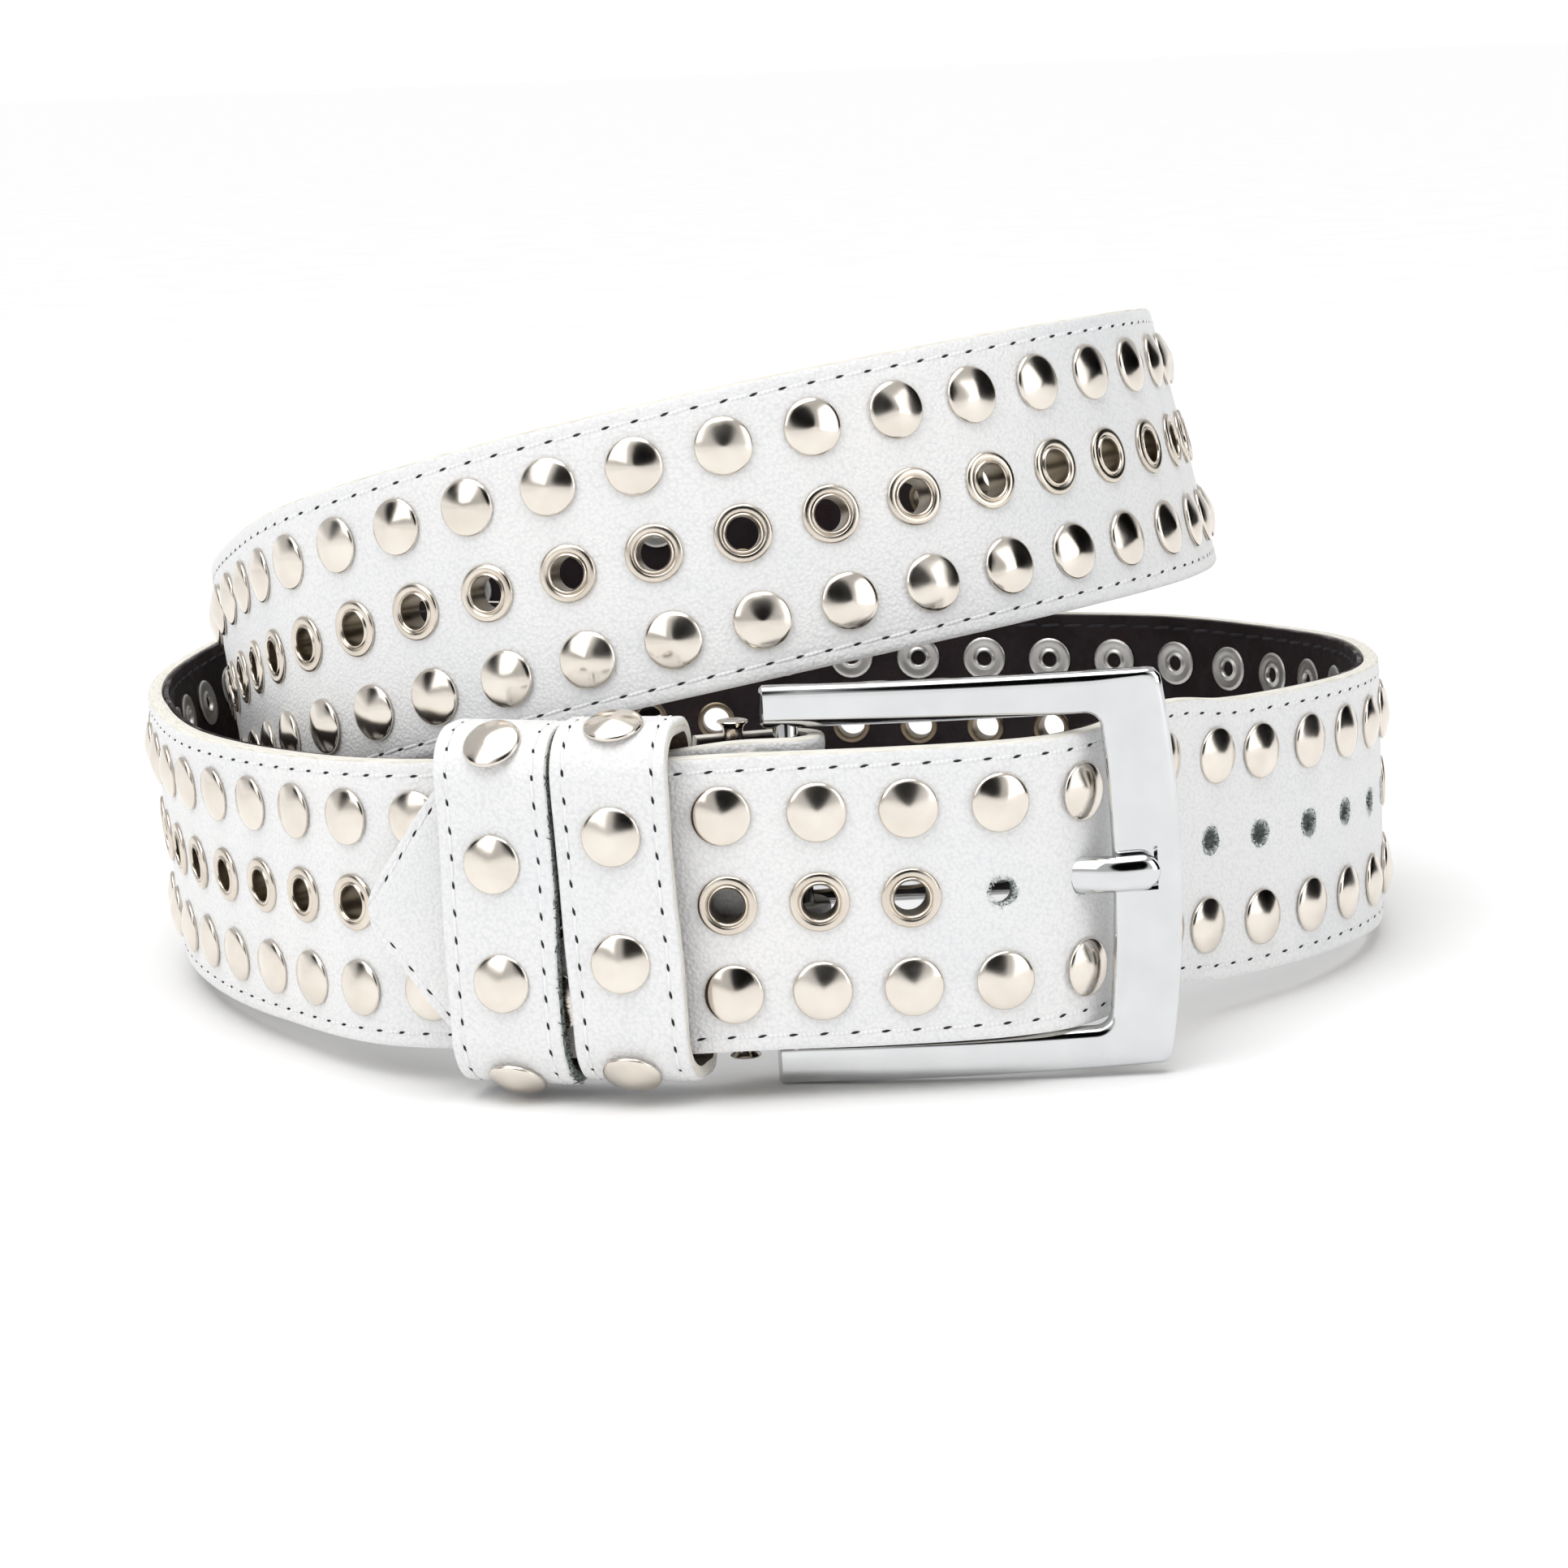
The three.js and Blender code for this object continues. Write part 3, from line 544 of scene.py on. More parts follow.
# %% The section and the bent grid
seam_inset = 2.1
groove_rows = [(19.2, -0.03), (18.7, 0), (18.2, -0.05), (17.9, -0.13), (17.6, -0.05), (17.1, 0)]
flat_rows = [15.5, 13.5, 11.5, 9.5, 7.5, 6.0, 4.5, 3.0, 1.5]


def half_section(top, bottom, edge, groove):
    """Points of the section from its middle line on top, over the edge, to its middle line below."""
    rows = [(0.0, top, 0)] + [(side, top, 0) for side in flat_rows[::-1]]
    rows += [(side - edge, top + groove * sink, 0) for side, sink in groove_rows[::-1]]
    thick = top - bottom
    rows += [(half_width - edge - 0.35, top - 0.1, 0), (half_width - edge - 0.1, top - 0.32, 1)]
    rows += [(half_width - edge, top - 0.4 * thick, 1), (half_width - edge, bottom + 0.2 * thick, 1)]
    rows += [(half_width - edge - 0.15, bottom, 1), (17.0, bottom, 2), (14.0, bottom, 2)]
    rows += [(side, bottom, 2) for side in (11.0, 8.0, 5.5, 3.0, 1.5)] + [(0.0, bottom, 2)]
    return rows


def full_section(top, bottom, edge, groove):
    right = half_section(top, bottom, edge, groove)
    left = [(-side, height, kind) for side, height, kind in right[-2:0:-1]]
    return right + left


def narrowed(sides, half):
    """Widths squeezed to a smaller half width, keeping the seam's distance from the edge."""
    seam_share = np.minimum(seam_inset / half, 0.9)
    power = np.clip(np.log(1 - seam_share) / math.log(1 - seam_inset / half_width), 1, 7)
    return np.sign(sides) * half * (np.abs(sides) / half_width) ** power


def layer_mesh(top, bottom, edge, groove, bores, torn):
    section = full_section(top, bottom, edge, groove)
    sides = np.array([row[0] for row in section])
    heights = np.array([row[1] for row in section])
    count = len(section)
    flat = []
    for length, half in zip(lengths, half_widths):
        widths = narrowed(sides, half) if half < half_width else sides
        flat.append(np.column_stack([np.full(count, length), widths, heights]))
    flat = np.vstack(flat)

    # The skin of the grid is left open at the holes and along the prong's slot.
    faces, kinds = [], []
    in_slot = (lengths >= slot_start - 1e-6) & (lengths <= slot_end + 1e-6)
    column_of = np.full(len(lengths), -1)
    for number, centre in enumerate(columns):
        column_of[np.abs(lengths - centre) < hole_side + 1e-6] = number
    narrow = np.abs(sides) <= hole_side + 1e-6
    for i in range(len(lengths) - 1):
        slotted = in_slot[i] and in_slot[i + 1]
        holed = column_of[i] >= 0 and column_of[i] == column_of[i + 1]
        for k in range(count):
            n = (k + 1) % count
            if (slotted or holed) and narrow[k] and narrow[n]:
                continue
            faces.append((i * count + k, i * count + n, (i + 1) * count + n, (i + 1) * count + k))
            kinds.append(1 if section[k][2] == 1 and section[n][2] >= 1 or section[n][2] == 1 else 0)
    faces.append(tuple(range(count)))
    kinds.append(1)
    faces.append(tuple(range((len(lengths) - 1) * count, len(lengths) * count)))
    kinds.append(1)

    # Each hole is a ring of points, joined to the square that the grid leaves round it.
    place = {(round(side, 3), height): k for k, (side, height, kind) in enumerate(section)}
    extra = []
    steps = [hole_step * i for i in range(-2, 3)]
    around = [(a, -hole_side) for a in steps] + [(hole_side, b) for b in steps[1:]]
    around += [(a, hole_side) for a in steps[-2::-1]] + [(-hole_side, b) for b in steps[-2:0:-1]]
    turns = np.array([math.atan2(b, a) for a, b in around])
    rng = np.random.default_rng(11)
    for number, centre in enumerate(columns):
        first = int(np.argmin(np.abs(lengths - (centre - hole_side))))
        bore = bores[number]
        radii = bore * (1 + torn[number] * rng.uniform(-ragged, ragged, hole_points))
        start = len(flat) + len(extra)
        for height in (top - 0.12 * torn[number], (top + bottom) / 2, bottom):
            inside = torn[number] * (height < top - 0.2)
            radii_here = radii * (1 - 0.05 * inside * rng.uniform(0, 1, hole_points))
            extra += [
                (centre + r * math.cos(t), r * math.sin(t), height) for r, t in zip(radii_here, turns)
            ]
        for level, rim in ((top, 0), (bottom, 2 * hole_points)):
            for j in range(hole_points):
                m = (j + 1) % hole_points
                corners = []
                for spot in (j, m):
                    step, side = around[spot]
                    station = first + int(round((step + hole_side) / hole_step))
                    corners.append(station * count + place[(side, level)])
                faces.append((corners[0], corners[1], start + rim + m, start + rim + j))
                kinds.append(0)
        for rim in (start, start + hole_points):
            for j in range(hole_points):
                m = (j + 1) % hole_points
                faces.append((rim + j, rim + m, rim + hole_points + m, rim + hole_points + j))
                kinds.append(2 if torn[number] else 1)

    # The slot gets two long walls and two ends.
    slot_rows = np.flatnonzero(in_slot)
    for i in slot_rows[:-1]:
        for side in (-hole_side, hole_side):
            high, low = place[(side, top)], place[(side, bottom)]
            faces.append((i * count + high, (i + 1) * count + high, (i + 1) * count + low, i * count + low))
            kinds.append(1)
    for i in (slot_rows[0], slot_rows[-1]):
        for a, b in zip(steps[:-1], steps[1:]):
            spots = [place[(a, top)], place[(b, top)], place[(b, bottom)], place[(a, bottom)]]
            faces.append(tuple(i * count + spot for spot in spots))
            kinds.append(1)
    flat = np.vstack([flat, extra])
    return flat, faces, kinds


# %% [markdown]
# The face is 2 mm of leather that lies on 1 mm of lining. Ten columns have plain punched holes
# with torn rims, and the others are lined by an eyelet.

# %% Face and lining
face_top = strap_thickness / 2
lining_low = -strap_thickness / 2
lining_top = lining_low + 1.0
first_plain = 5
plain_count = 10
plain_bore = 2.1
plain = np.zeros(column_count, bool)
plain[first_plain : first_plain + plain_count] = True
print("plain holes:", plain.sum())
face_bores = np.where(plain, plain_bore, eyelet_bore + 0.25)
flat, faces, kinds = layer_mesh(face_top, lining_top + 0.03, 0.0, 1.0, face_bores, plain)
strap_face = new_piece(
    "strap_leather",
    on_strap(flat[:, 0], flat[:, 1], flat[:, 2]),
    faces,
    [white_leather, cut_edge, core_fibre],
    kinds,
    flat,
)
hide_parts("strap_face")

flat, faces, kinds = layer_mesh(lining_top, lining_low, 0.25, 0.0, face_bores + 0.15, plain)
lining = new_piece(
    "strap_back_lining",
    on_strap(flat[:, 0], flat[:, 1], flat[:, 2]),
    faces,
    [dark_lining, dark_lining, core_fibre],
    kinds,
    flat,
)
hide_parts("strap_lining")

# %% [markdown]
# ## The keepers
# Each keeper is a band of the same leather, closed into a loop round both layers of the strap.
# It is drawn as a section of the band, about 15 mm wide and 2 mm thick with eased edges, and
# carried round a rounded rectangle. Its front bulges a little, as a hand-made loop does. A row
# below gives a keeper's name, its way back from the pivot bar, the side to which its front flares,
# its width as a share of the common one, and the marks of its four studs.

# %% Keeper loops
keeper_width = 14.8
keeper_thickness = 2.0
keeper_height = 48.6
keeper_below = 3.6
keeper_lean = 0.8
keeper_corner = 4.5
front_corner = 7.0
flare = 0.8
front_bulge = 0.35
keeper_back = strap_thickness / 2 + 0.6 + keeper_thickness
keeper_front = overlap_spacing + strap_thickness / 2 + stud_height + 0.6 + keeper_thickness
keeper_rows = [
    ("keeper_near_buckle", 20.1, -1, 1.05, [-45, 17.4, 34.4, 70]),
    ("keeper_near_tip", 36.8, 1, 1.1, [-52, 15.1, 31.2, 48]),
]


def loop_outline(inset):
    """The keeper's outline in plan of inward and up, with the way out of it at each point."""
    tight, ample = keeper_corner - inset, front_corner - inset
    left, right = -keeper_front + inset, keeper_back - inset
    low, high = inset, keeper_height - inset
    corners = [
        (right - tight, low + tight, -90, tight),
        (right - tight, high - tight, 0, tight),
        (left + ample, high - ample, 90, ample),
        (left + ample, low + ample, 180, ample),
    ]
    points, ways = [], []
    for number, (x, y, start, radius) in enumerate(corners):
        for angle in np.radians(start + np.linspace(0, 90, 9)):
            ways.append((math.cos(angle), math.sin(angle)))
            points.append((x + radius * math.cos(angle), y + radius * math.sin(angle)))
        following = corners[(number + 1) % 4]
        angle = math.radians(start + 90)
        end = (following[0] + following[3] * math.cos(angle), following[1] + following[3] * math.sin(angle))
        steps = max(int(math.dist(points[-1], end) / 1.6), 2)
        begin = points[-1]
        for share in np.arange(1, steps) / steps:
            points.append((begin[0] + (end[0] - begin[0]) * share, begin[1] + (end[1] - begin[1]) * share))
            ways.append((math.cos(angle), math.sin(angle)))
    return np.array(points), np.array(ways)


keeper_section = [(0.0, 0.0), (2.0, 0), (4.0, 0), (5.1, 0), (5.45, 0.05), (5.7, 0.14), (5.95, 0.05)]
keeper_section += [(6.3, 0), (6.9, 0.02), (7.2, 0.12), (7.38, 0.4), (7.4, 1.0), (7.4, 1.7), (7.25, 2.0)]
keeper_section += [(5.0, 2.0), (2.5, 2.0), (0.0, 2.0)]
keeper_kinds = [0, 0, 0, 0, 0, 0, 0, 0, 0, 0, 1, 1, 1, 2, 2, 2]


def keeper_axes(along_back):
    length = bar_run - along_back
    way = read_table(along, [length])[0]
    way = unit(np.array([way[0], way[1], 0.0]))
    inward = np.cross([0, 0, 1], way)
    base = read_table(middle, [length])[0] - np.array([0, 0, half_width + keeper_below])
    return base, inward, np.array([0.0, 0.0, 1.0]), way


def leaned(level):
    """The keepers stand a little aslant, with their upper edge back from the buckle."""
    return keeper_lean * (1 - 2 * level / keeper_height)


def keeper_wave(x, y, nx, ny, walk, skew, toward):
    """How far a place on the loop stands out, and how far it is shifted along the strap."""
    bulge = front_bulge * math.sin(math.pi * y / keeper_height) * (nx < -0.5)
    bulge += 0.12 * math.sin(walk / 5.3 + skew)
    sway = 0.3 * math.sin(walk / 17 + skew) + 0.12 * math.sin(walk / 6.1 + 2 * skew)
    return bulge, sway + leaned(y) + toward * flare * max(-x, 0) / keeper_front


def keeper_mesh(along_back, toward, skew, broad):
    base, inward, upward, way = keeper_axes(along_back)
    mirror = [(-v, d) for v, d in keeper_section[-2:0:-1]]
    section = keeper_section + mirror
    kinds_round = keeper_kinds + keeper_kinds[::-1]
    outline, ways = loop_outline(0.0)
    points, lay = [], []
    walked = np.concatenate([[0], np.cumsum(np.linalg.norm(np.diff(outline, axis=0), axis=1))])
    for (x, y), (nx, ny), walk in zip(outline, ways, walked):
        bulge, sway = keeper_wave(x, y, nx, ny, walk, skew, toward)
        for v, depth in section:
            edge = 0.1 * math.sin(walk / 3.7 + skew) * (abs(v) > 6.9)
            px, py = x + nx * (bulge - depth), y + ny * (bulge * (ny > -0.5) - depth)
            points.append(base + inward * px + upward * py + way * (v * (broad + edge / 10) + sway))
            lay.append((walk + 40 * skew, v * broad, depth))
    count, rounds = len(section), len(outline)
    faces, kinds = [], []
    for i in range(rounds):
        j = (i + 1) % rounds
        for k in range(count):
            n = (k + 1) % count
            faces.append((i * count + k, i * count + n, j * count + n, j * count + k))
            kinds.append(kinds_round[k])
    return points, faces, kinds, lay


for name, along_back, toward, broad, marks in keeper_rows:
    points, faces, kinds, lay = keeper_mesh(along_back, toward, along_back / 10, broad)
    loop = new_piece(
        name + "_leather",
        points,
        faces,
        [white_leather, cut_edge if toward < 0 else core_fibre, suede],
        kinds,
        lay,
    )
    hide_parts(name)

# %% [markdown]
# ## The buckle's frame
# The frame is a zinc casting: two arms, open at the left, and a wide end bar whose outer edge
# bows. Its outline is drawn as pairs of points, one on the outer edge and one on the inner, and
# a bevelled section is stretched between each pair. That keeps the bevels even and lets the
# corners turn cleanly. The end bar is sunk in the middle, where the prong rests.

# %% Pairs of points round the frame
frame_left = bar_x - bar_inset
frame_right = frame_left + frame_length
outer_corner = 1.8
inner_corner = 2.2
prong_width = 5.0
notch_half = prong_width / 2 + 0.45
notch_sink = 1.3
end_bevel = 0.55


def bow(share):
    return 4 * share * (1 - share)


def outer_edge(height):
    return frame_right - end_bulge * (1 - bow(height / frame_height))


def inner_edge(height):
    share = (height - arm_height) / (frame_height - 2 * arm_height)
    return frame_right - end_bar_width - opening_bulge * (1 - bow(share))


def resampled(points, count):
    points = np.array(points)
    walk = np.concatenate([[0], np.cumsum(np.linalg.norm(np.diff(points, axis=0), axis=1))])
    spots = np.linspace(0, walk[-1], count)
    return np.column_stack([np.interp(spots, walk, points[:, i]) for i in range(2)])


turn_x = inner_edge(arm_height + inner_corner) - inner_corner
pairs = [((x, 0.0), (x, arm_height)) for x in np.linspace(frame_left, turn_x, 25)]
inner_arc = [
    (turn_x + inner_corner * math.sin(a), arm_height + inner_corner * (1 - math.cos(a)))
    for a in np.linspace(0, math.pi / 2, 9)
]
corner_x = outer_edge(outer_corner) - outer_corner
outer_arc = [(turn_x, 0.0), (corner_x, 0.0)]
for a in np.linspace(0, math.pi / 2, 7)[1:]:
    outer_arc.append((corner_x + outer_corner * math.sin(a), outer_corner * (1 - math.cos(a))))
for height in np.linspace(outer_corner, arm_height + inner_corner, 4)[1:]:
    outer_arc.append((outer_edge(height), height))
outer_arc = resampled(outer_arc, 19)
inner_arc = resampled(inner_arc, 19)
pairs += list(zip(outer_arc[1:].tolist(), inner_arc[1:].tolist()))
middle_rows = list(np.linspace(arm_height + inner_corner, middle_height - notch_half - 0.5, 11)[1:])
middle_rows += [middle_height - notch_half, middle_height - notch_half + 0.25]
middle_rows += [middle_height - 1.2]
pairs += [((outer_edge(z), z), (inner_edge(z), z)) for z in middle_rows]
pairs += [((outer_edge(middle_height), middle_height), (inner_edge(middle_height), middle_height))]
mirrored = [((a[0], frame_height - a[1]), (b[0], frame_height - b[1])) for a, b in pairs[-2::-1]]
pairs += mirrored
print("pairs round the frame:", len(pairs))


# %% The frame as one skin
def frame_depth(x):
    share = (x - bar_x) / buckle_span
    return bar_y - end_bar_rise * share - frame_bow * bow(share)


def notch_depth(height):
    return notch_sink if abs(height - middle_height) < notch_half - 0.1 else 0.0


bevel = 0.85
bevel_rows = [(0.0, bevel), (0.07, 0.6), (0.24, 0.38), (0.5, 0.2), (0.85, 0.07), (1.25, 0.01)]


def frame_section(width, sink):
    """Points round the section, as distance in from the outer edge and height behind the front."""
    rows = [(inset, depth) for inset, depth in bevel_rows] + [(1.8, 0.0)]
    middle_rows = [(0.36 * width, -0.03), (0.4 * width, -0.03), (0.6 * width, -0.03)]
    rows += middle_rows
    rows += [(width - inset, depth) for inset, depth in [(1.8, 0.0)] + bevel_rows[::-1]]
    front = [(inset, depth + sink * (inset > 0.38 * width)) for inset, depth in rows]
    back = [(inset, frame_thickness - depth) for inset, depth in rows[::-1]]
    return front + back


frame_points, frame_faces = [], []
for number, (outer, inner) in enumerate(pairs):
    outer, inner = np.array(outer), np.array(inner)
    reach = inner - outer
    width = float(np.linalg.norm(reach))
    way = reach / width
    ended = end_bevel if number in (0, len(pairs) - 1) else 0.0
    sink = notch_depth(outer[1])
    for inset, depth in frame_section(width, sink):
        x, z = outer + way * min(max(inset, ended), width - ended)
        shrunk = min(max(depth, ended), frame_thickness - ended)
        frame_points.append((x, frame_depth(x) - frame_thickness / 2 + shrunk, z))
section_count = len(frame_section(10.0, 0.0))
for number in (1, len(pairs) - 2):
    block = slice(number * section_count, (number + 1) * section_count)
    frame_points[block] = [(frame_left + 0.5, y, z) for x, y, z in frame_points[block]]
for i in range(len(pairs) - 1):
    for k in range(section_count):
        n = (k + 1) % section_count
        corners = (i * section_count + k, i * section_count + n)
        frame_faces.append(corners + ((i + 1) * section_count + n, (i + 1) * section_count + k))
frame_faces.append(tuple(range(section_count)))
frame_faces.append(tuple(range((len(pairs) - 1) * section_count, len(pairs) * section_count)))
print("frame skin, faces:", len(frame_faces))


# %% Rings of points joined into a skin
def add_rings(points, faces, rings, closed=False):
    """Joins rings of points, each the same size, into a skin with closed ends."""
    base, size = len(points), len(rings[0])
    for ring in rings:
        points.extend(tuple(p) for p in ring)
    for i in range(len(rings) if closed else len(rings) - 1):
        j = (i + 1) % len(rings)
        for k in range(size):
            n = (k + 1) % size
            here, following = base + i * size, base + j * size
            faces.append((here + k, here + n, following + n, following + k))
    if not closed:
        faces.append(tuple(base + k for k in range(size)))
        faces.append(tuple(base + (len(rings) - 1) * size + k for k in range(size)))


# %% [markdown]
# The buckle hangs on its bar with some play, so its end bar stands a little higher and the frame is
# slightly askew. The play is given in millimetres at the frame's four corners, low and high, and
# every point between them moves by its share.

# %% The buckle's play and the pivot bar
corner_lift = {"left": (0.0, 0.5), "right": (1.6, 1.5)}
corner_back = {"left": (0.0, 0.8), "right": (0.9, 1.5)}


def between_corners(corners, across_share, up_share):
    left, right = ((1 - up_share) * low + up_share * high for low, high in corners.values())
    return (1 - across_share) * left + across_share * right


def slackened(points):
    moved = []
    for x, y, z in points:
        shares = min(max((x - frame_left) / frame_length, 0), 1), z / frame_height
        back = between_corners(corner_back, *shares)
        moved.append((x - back, y, z + between_corners(corner_lift, *shares)))
    return moved


frame_points = slackened(frame_points)
bar_rings = []
for height, shrink in [(4.0, 0.5), (4.2, 0.15), (4.6, 0.0), (49.2, 0.0), (49.6, 0.15), (49.8, 0.5)]:
    angles = np.linspace(0, 2 * math.pi, 25)[:-1]
    radius = bar_radius - shrink
    bar_rings.append(
        [(bar_x + radius * math.cos(a), bar_y + radius * math.sin(a), height) for a in angles]
    )
add_rings(frame_points, frame_faces, bar_rings)
buckle = new_piece("buckle_frame_cast", frame_points, frame_faces, [chrome], sharp=40)
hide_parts("buckle_frame")

# %% [markdown]
# ## The prong
# The prong is a half-round bar with a ring at one end that turns on the pivot bar. It passes
# under the strap's end, comes up through its hole and lies in the frame's sunk place. The shank
# is a half-round section carried along its bend, and its end is rounded like half a coin.

# %% Prong
prong_thickness = 2.8
prong_overhang = 4.2
prong_crown = 0.62
prong_belly = 0.38
prong_rise = 1.15
prong_start = bar_x + 2.2
prong_round = prong_width / 2
prong_rest = end_bar_rise + frame_thickness / 2 - 1.2 + prong_thickness / 2
prong_end = frame_right - prong_overhang
prong_line = [
    (prong_start, 0.2),
    (bar_x + buckle_span * 0.3, 0.22),
    (bar_x + buckle_span * 0.62, 0.3),
    (bar_x + buckle_span * 0.75, 2.2),
    (bar_x + buckle_span * 0.865, prong_rest + 0.2),
    (prong_end, prong_rest - 0.15),
]
rounding = np.sin(np.linspace(0, math.pi / 2, 10)[1:])
line_x = np.linspace(prong_start, prong_end - prong_round, 46)
line_x = np.concatenate([line_x, prong_end - prong_round * (1 - rounding)])
line_y = np.interp(line_x, *np.array(prong_line).T)
for _ in range(6):
    line_y[1:-1] = (line_y[:-2] + 2 * line_y[1:-1] + line_y[2:]) / 4
prong_points, prong_faces, prong_rings = [], [], []
for x, forward in zip(line_x, line_y):
    beyond = max(x - (prong_end - prong_round), 0)
    half = math.sqrt(max(prong_round**2 - beyond**2, 0.05))
    ring = []
    for angle in np.linspace(0, math.pi, 13):
        lifted = math.sin(angle) ** 0.8
        crown = prong_crown * prong_thickness * (0.35 + 0.65 * half / prong_round)
        ring.append((x, bar_y - forward - crown * lifted, middle_height - half * math.cos(angle)))
    for angle in np.linspace(math.pi, 2 * math.pi, 9)[1:-1]:
        below = prong_belly * prong_thickness * math.sin(angle)
        ring.append((x, bar_y - forward - below, middle_height - half * math.cos(angle)))
    prong_rings.append(ring)
add_rings(prong_points, prong_faces, prong_rings)
prong_points = [
    (x, y, z + prong_rise * max((x - bar_x) / buckle_span, 0) ** 2) for x, y, z in prong_points
]
ring_section = [(3.5, -2.2), (3.5, 2.2), (3.2, 2.5), (2.3, 2.5)]
ring_section += [(2.0, 2.2), (2.0, -2.2), (2.3, -2.5), (3.2, -2.5)]
eye_rings = []
for angle in np.linspace(0, 2 * math.pi, 33)[:-1]:
    eye_rings.append(
        [
            (bar_x + radius * math.cos(angle), bar_y + radius * math.sin(angle), middle_height + height)
            for radius, height in ring_section
        ]
    )
add_rings(prong_points, prong_faces, eye_rings, closed=True)
prong = new_piece("buckle_prong_bent", prong_points, prong_faces, [chrome])
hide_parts("buckle_prong")


# %% [markdown]
# ## Turned fittings
# Studs, eyelets, washers and rivets are all round, so each is one outline turned about its axis.
# A helper turns an outline of radius and height into a mesh. The stud's cap is almost a cone
# with a soft point: that is what makes its reflections look like wedges.

# %% Turning an outline
def turned_mesh(name, outline, sides, finish):
    points, faces = [], []
    rings = []
    for radius, height in outline:
        angles = 2 * math.pi * np.arange(sides) / sides
        rings.append([(radius * math.cos(a), radius * math.sin(a), height) for a in angles])
    add_rings(points, faces, rings)
    mesh = bpy.data.meshes.new(name)
    mesh.from_pydata((np.array(points) / 1000).tolist(), [], faces)
    mesh.materials.append(finish)
    shell = bmesh.new()
    shell.from_mesh(mesh)
    bmesh.ops.remove_doubles(shell, verts=shell.verts, dist=1e-6)
    bmesh.ops.recalc_face_normals(shell, faces=shell.faces)
    shell.to_mesh(mesh)
    shell.free()
    mesh.shade_smooth()
    mesh.set_sharp_from_angle(angle=math.radians(50))
    obj = bpy.data.objects.new(name, mesh)
    bpy.context.scene.collection.objects.link(obj)
    return obj


stud_outline = [(3.2, -0.05), (3.72, -0.05), (3.74, 0.1), (3.97, 0.17), (4.02, 0.3), (3.95, 0.47)]
stud_outline += [(3.75, 0.64), (3.4, 0.8), (2.7, 1.04), (1.9, 1.28), (1.15, 1.46), (0.55, 1.56)]
stud_outline += [(0.15, stud_height)]
stud_cap = turned_mesh("stud_cap", stud_outline, 32, nickel)
eyelet_outline = [(3.4, -0.05), (3.9, -0.05), (4.02, 0.08), (4.03, 0.22), (3.94, 0.4), (3.72, 0.53)]
eyelet_outline += [(3.4, 0.6), (3.08, 0.57), (2.92, 0.48), (2.84, 0.4), (2.76, 0.48), (2.66, 0.64)]
eyelet_outline += [(2.52, 0.69), (2.4, 0.6), (2.34, 0.42), (2.34, -0.05)]
tube_outline = [(2.3, 0.35), (2.3, -3.35), (2.42, -3.62), (2.7, -3.68), (3.1, -3.6), (3.3, -3.4)]
tube_outline += [(3.2, -3.32), (2.52, -3.32), (2.5, -0.05), (2.4, 0.35)]
print("stud and eyelet outlines:", len(stud_outline), len(eyelet_outline))


# %% [markdown]
# The eyelet is a tube with a rolled lip, open through the strap, so its outline closes on itself
# in place of ending on the axis. The washer that closes a stud's post on the back is a shallow
# dish with a raised collar round a dark hollow.

# %% Eyelet and washer
def turned_ring(name, outline, sides, finish):
    obj = turned_mesh(name, outline, sides, finish)
    shell = bmesh.new()
    shell.from_mesh(obj.data)
    caps = [face for face in shell.faces if len(face.verts) == sides]
    bmesh.ops.delete(shell, geom=caps, context="FACES_ONLY")
    rims = [edge for edge in shell.edges if edge.is_boundary]
    bmesh.ops.bridge_loops(shell, edges=rims)
    bmesh.ops.recalc_face_normals(shell, faces=shell.faces)
    shell.to_mesh(obj.data)
    shell.free()
    obj.data.shade_smooth()
    obj.data.set_sharp_from_angle(angle=math.radians(50))
    return obj


eyelet = turned_ring("eyelet_ring", eyelet_outline, 32, eyelet_nickel)
tube = turned_ring("eyelet_tube", tube_outline, 28, bore_shade_nickel)
washer_size = 1.22
washer_outline = [(2.7, -0.05), (3.0, 0.05), (3.05, 0.25), (2.9, 0.4), (2.6, 0.42), (2.1, 0.34)]
washer_outline += [(1.7, 0.26), (1.5, 0.3), (1.38, 0.48), (1.2, 0.52), (1.02, 0.38)]
washer_outline += [(0.98, -0.6), (0.1, -0.7)]
washer = turned_mesh("rivet_washer", washer_outline, 24, satin_nickel)


# %% [markdown]
# ## A tree of nodes that sets the fittings
# Hundreds of fittings repeat along the strap, so a tree of geometry nodes sets one template on
# every point of a small mesh. Each point keeps its own directions along the strap and out of it.
# The tree turns the template to them, tilts it a little by a fixed seed, as hand-set fittings
# are, and makes the copies real with their finish.

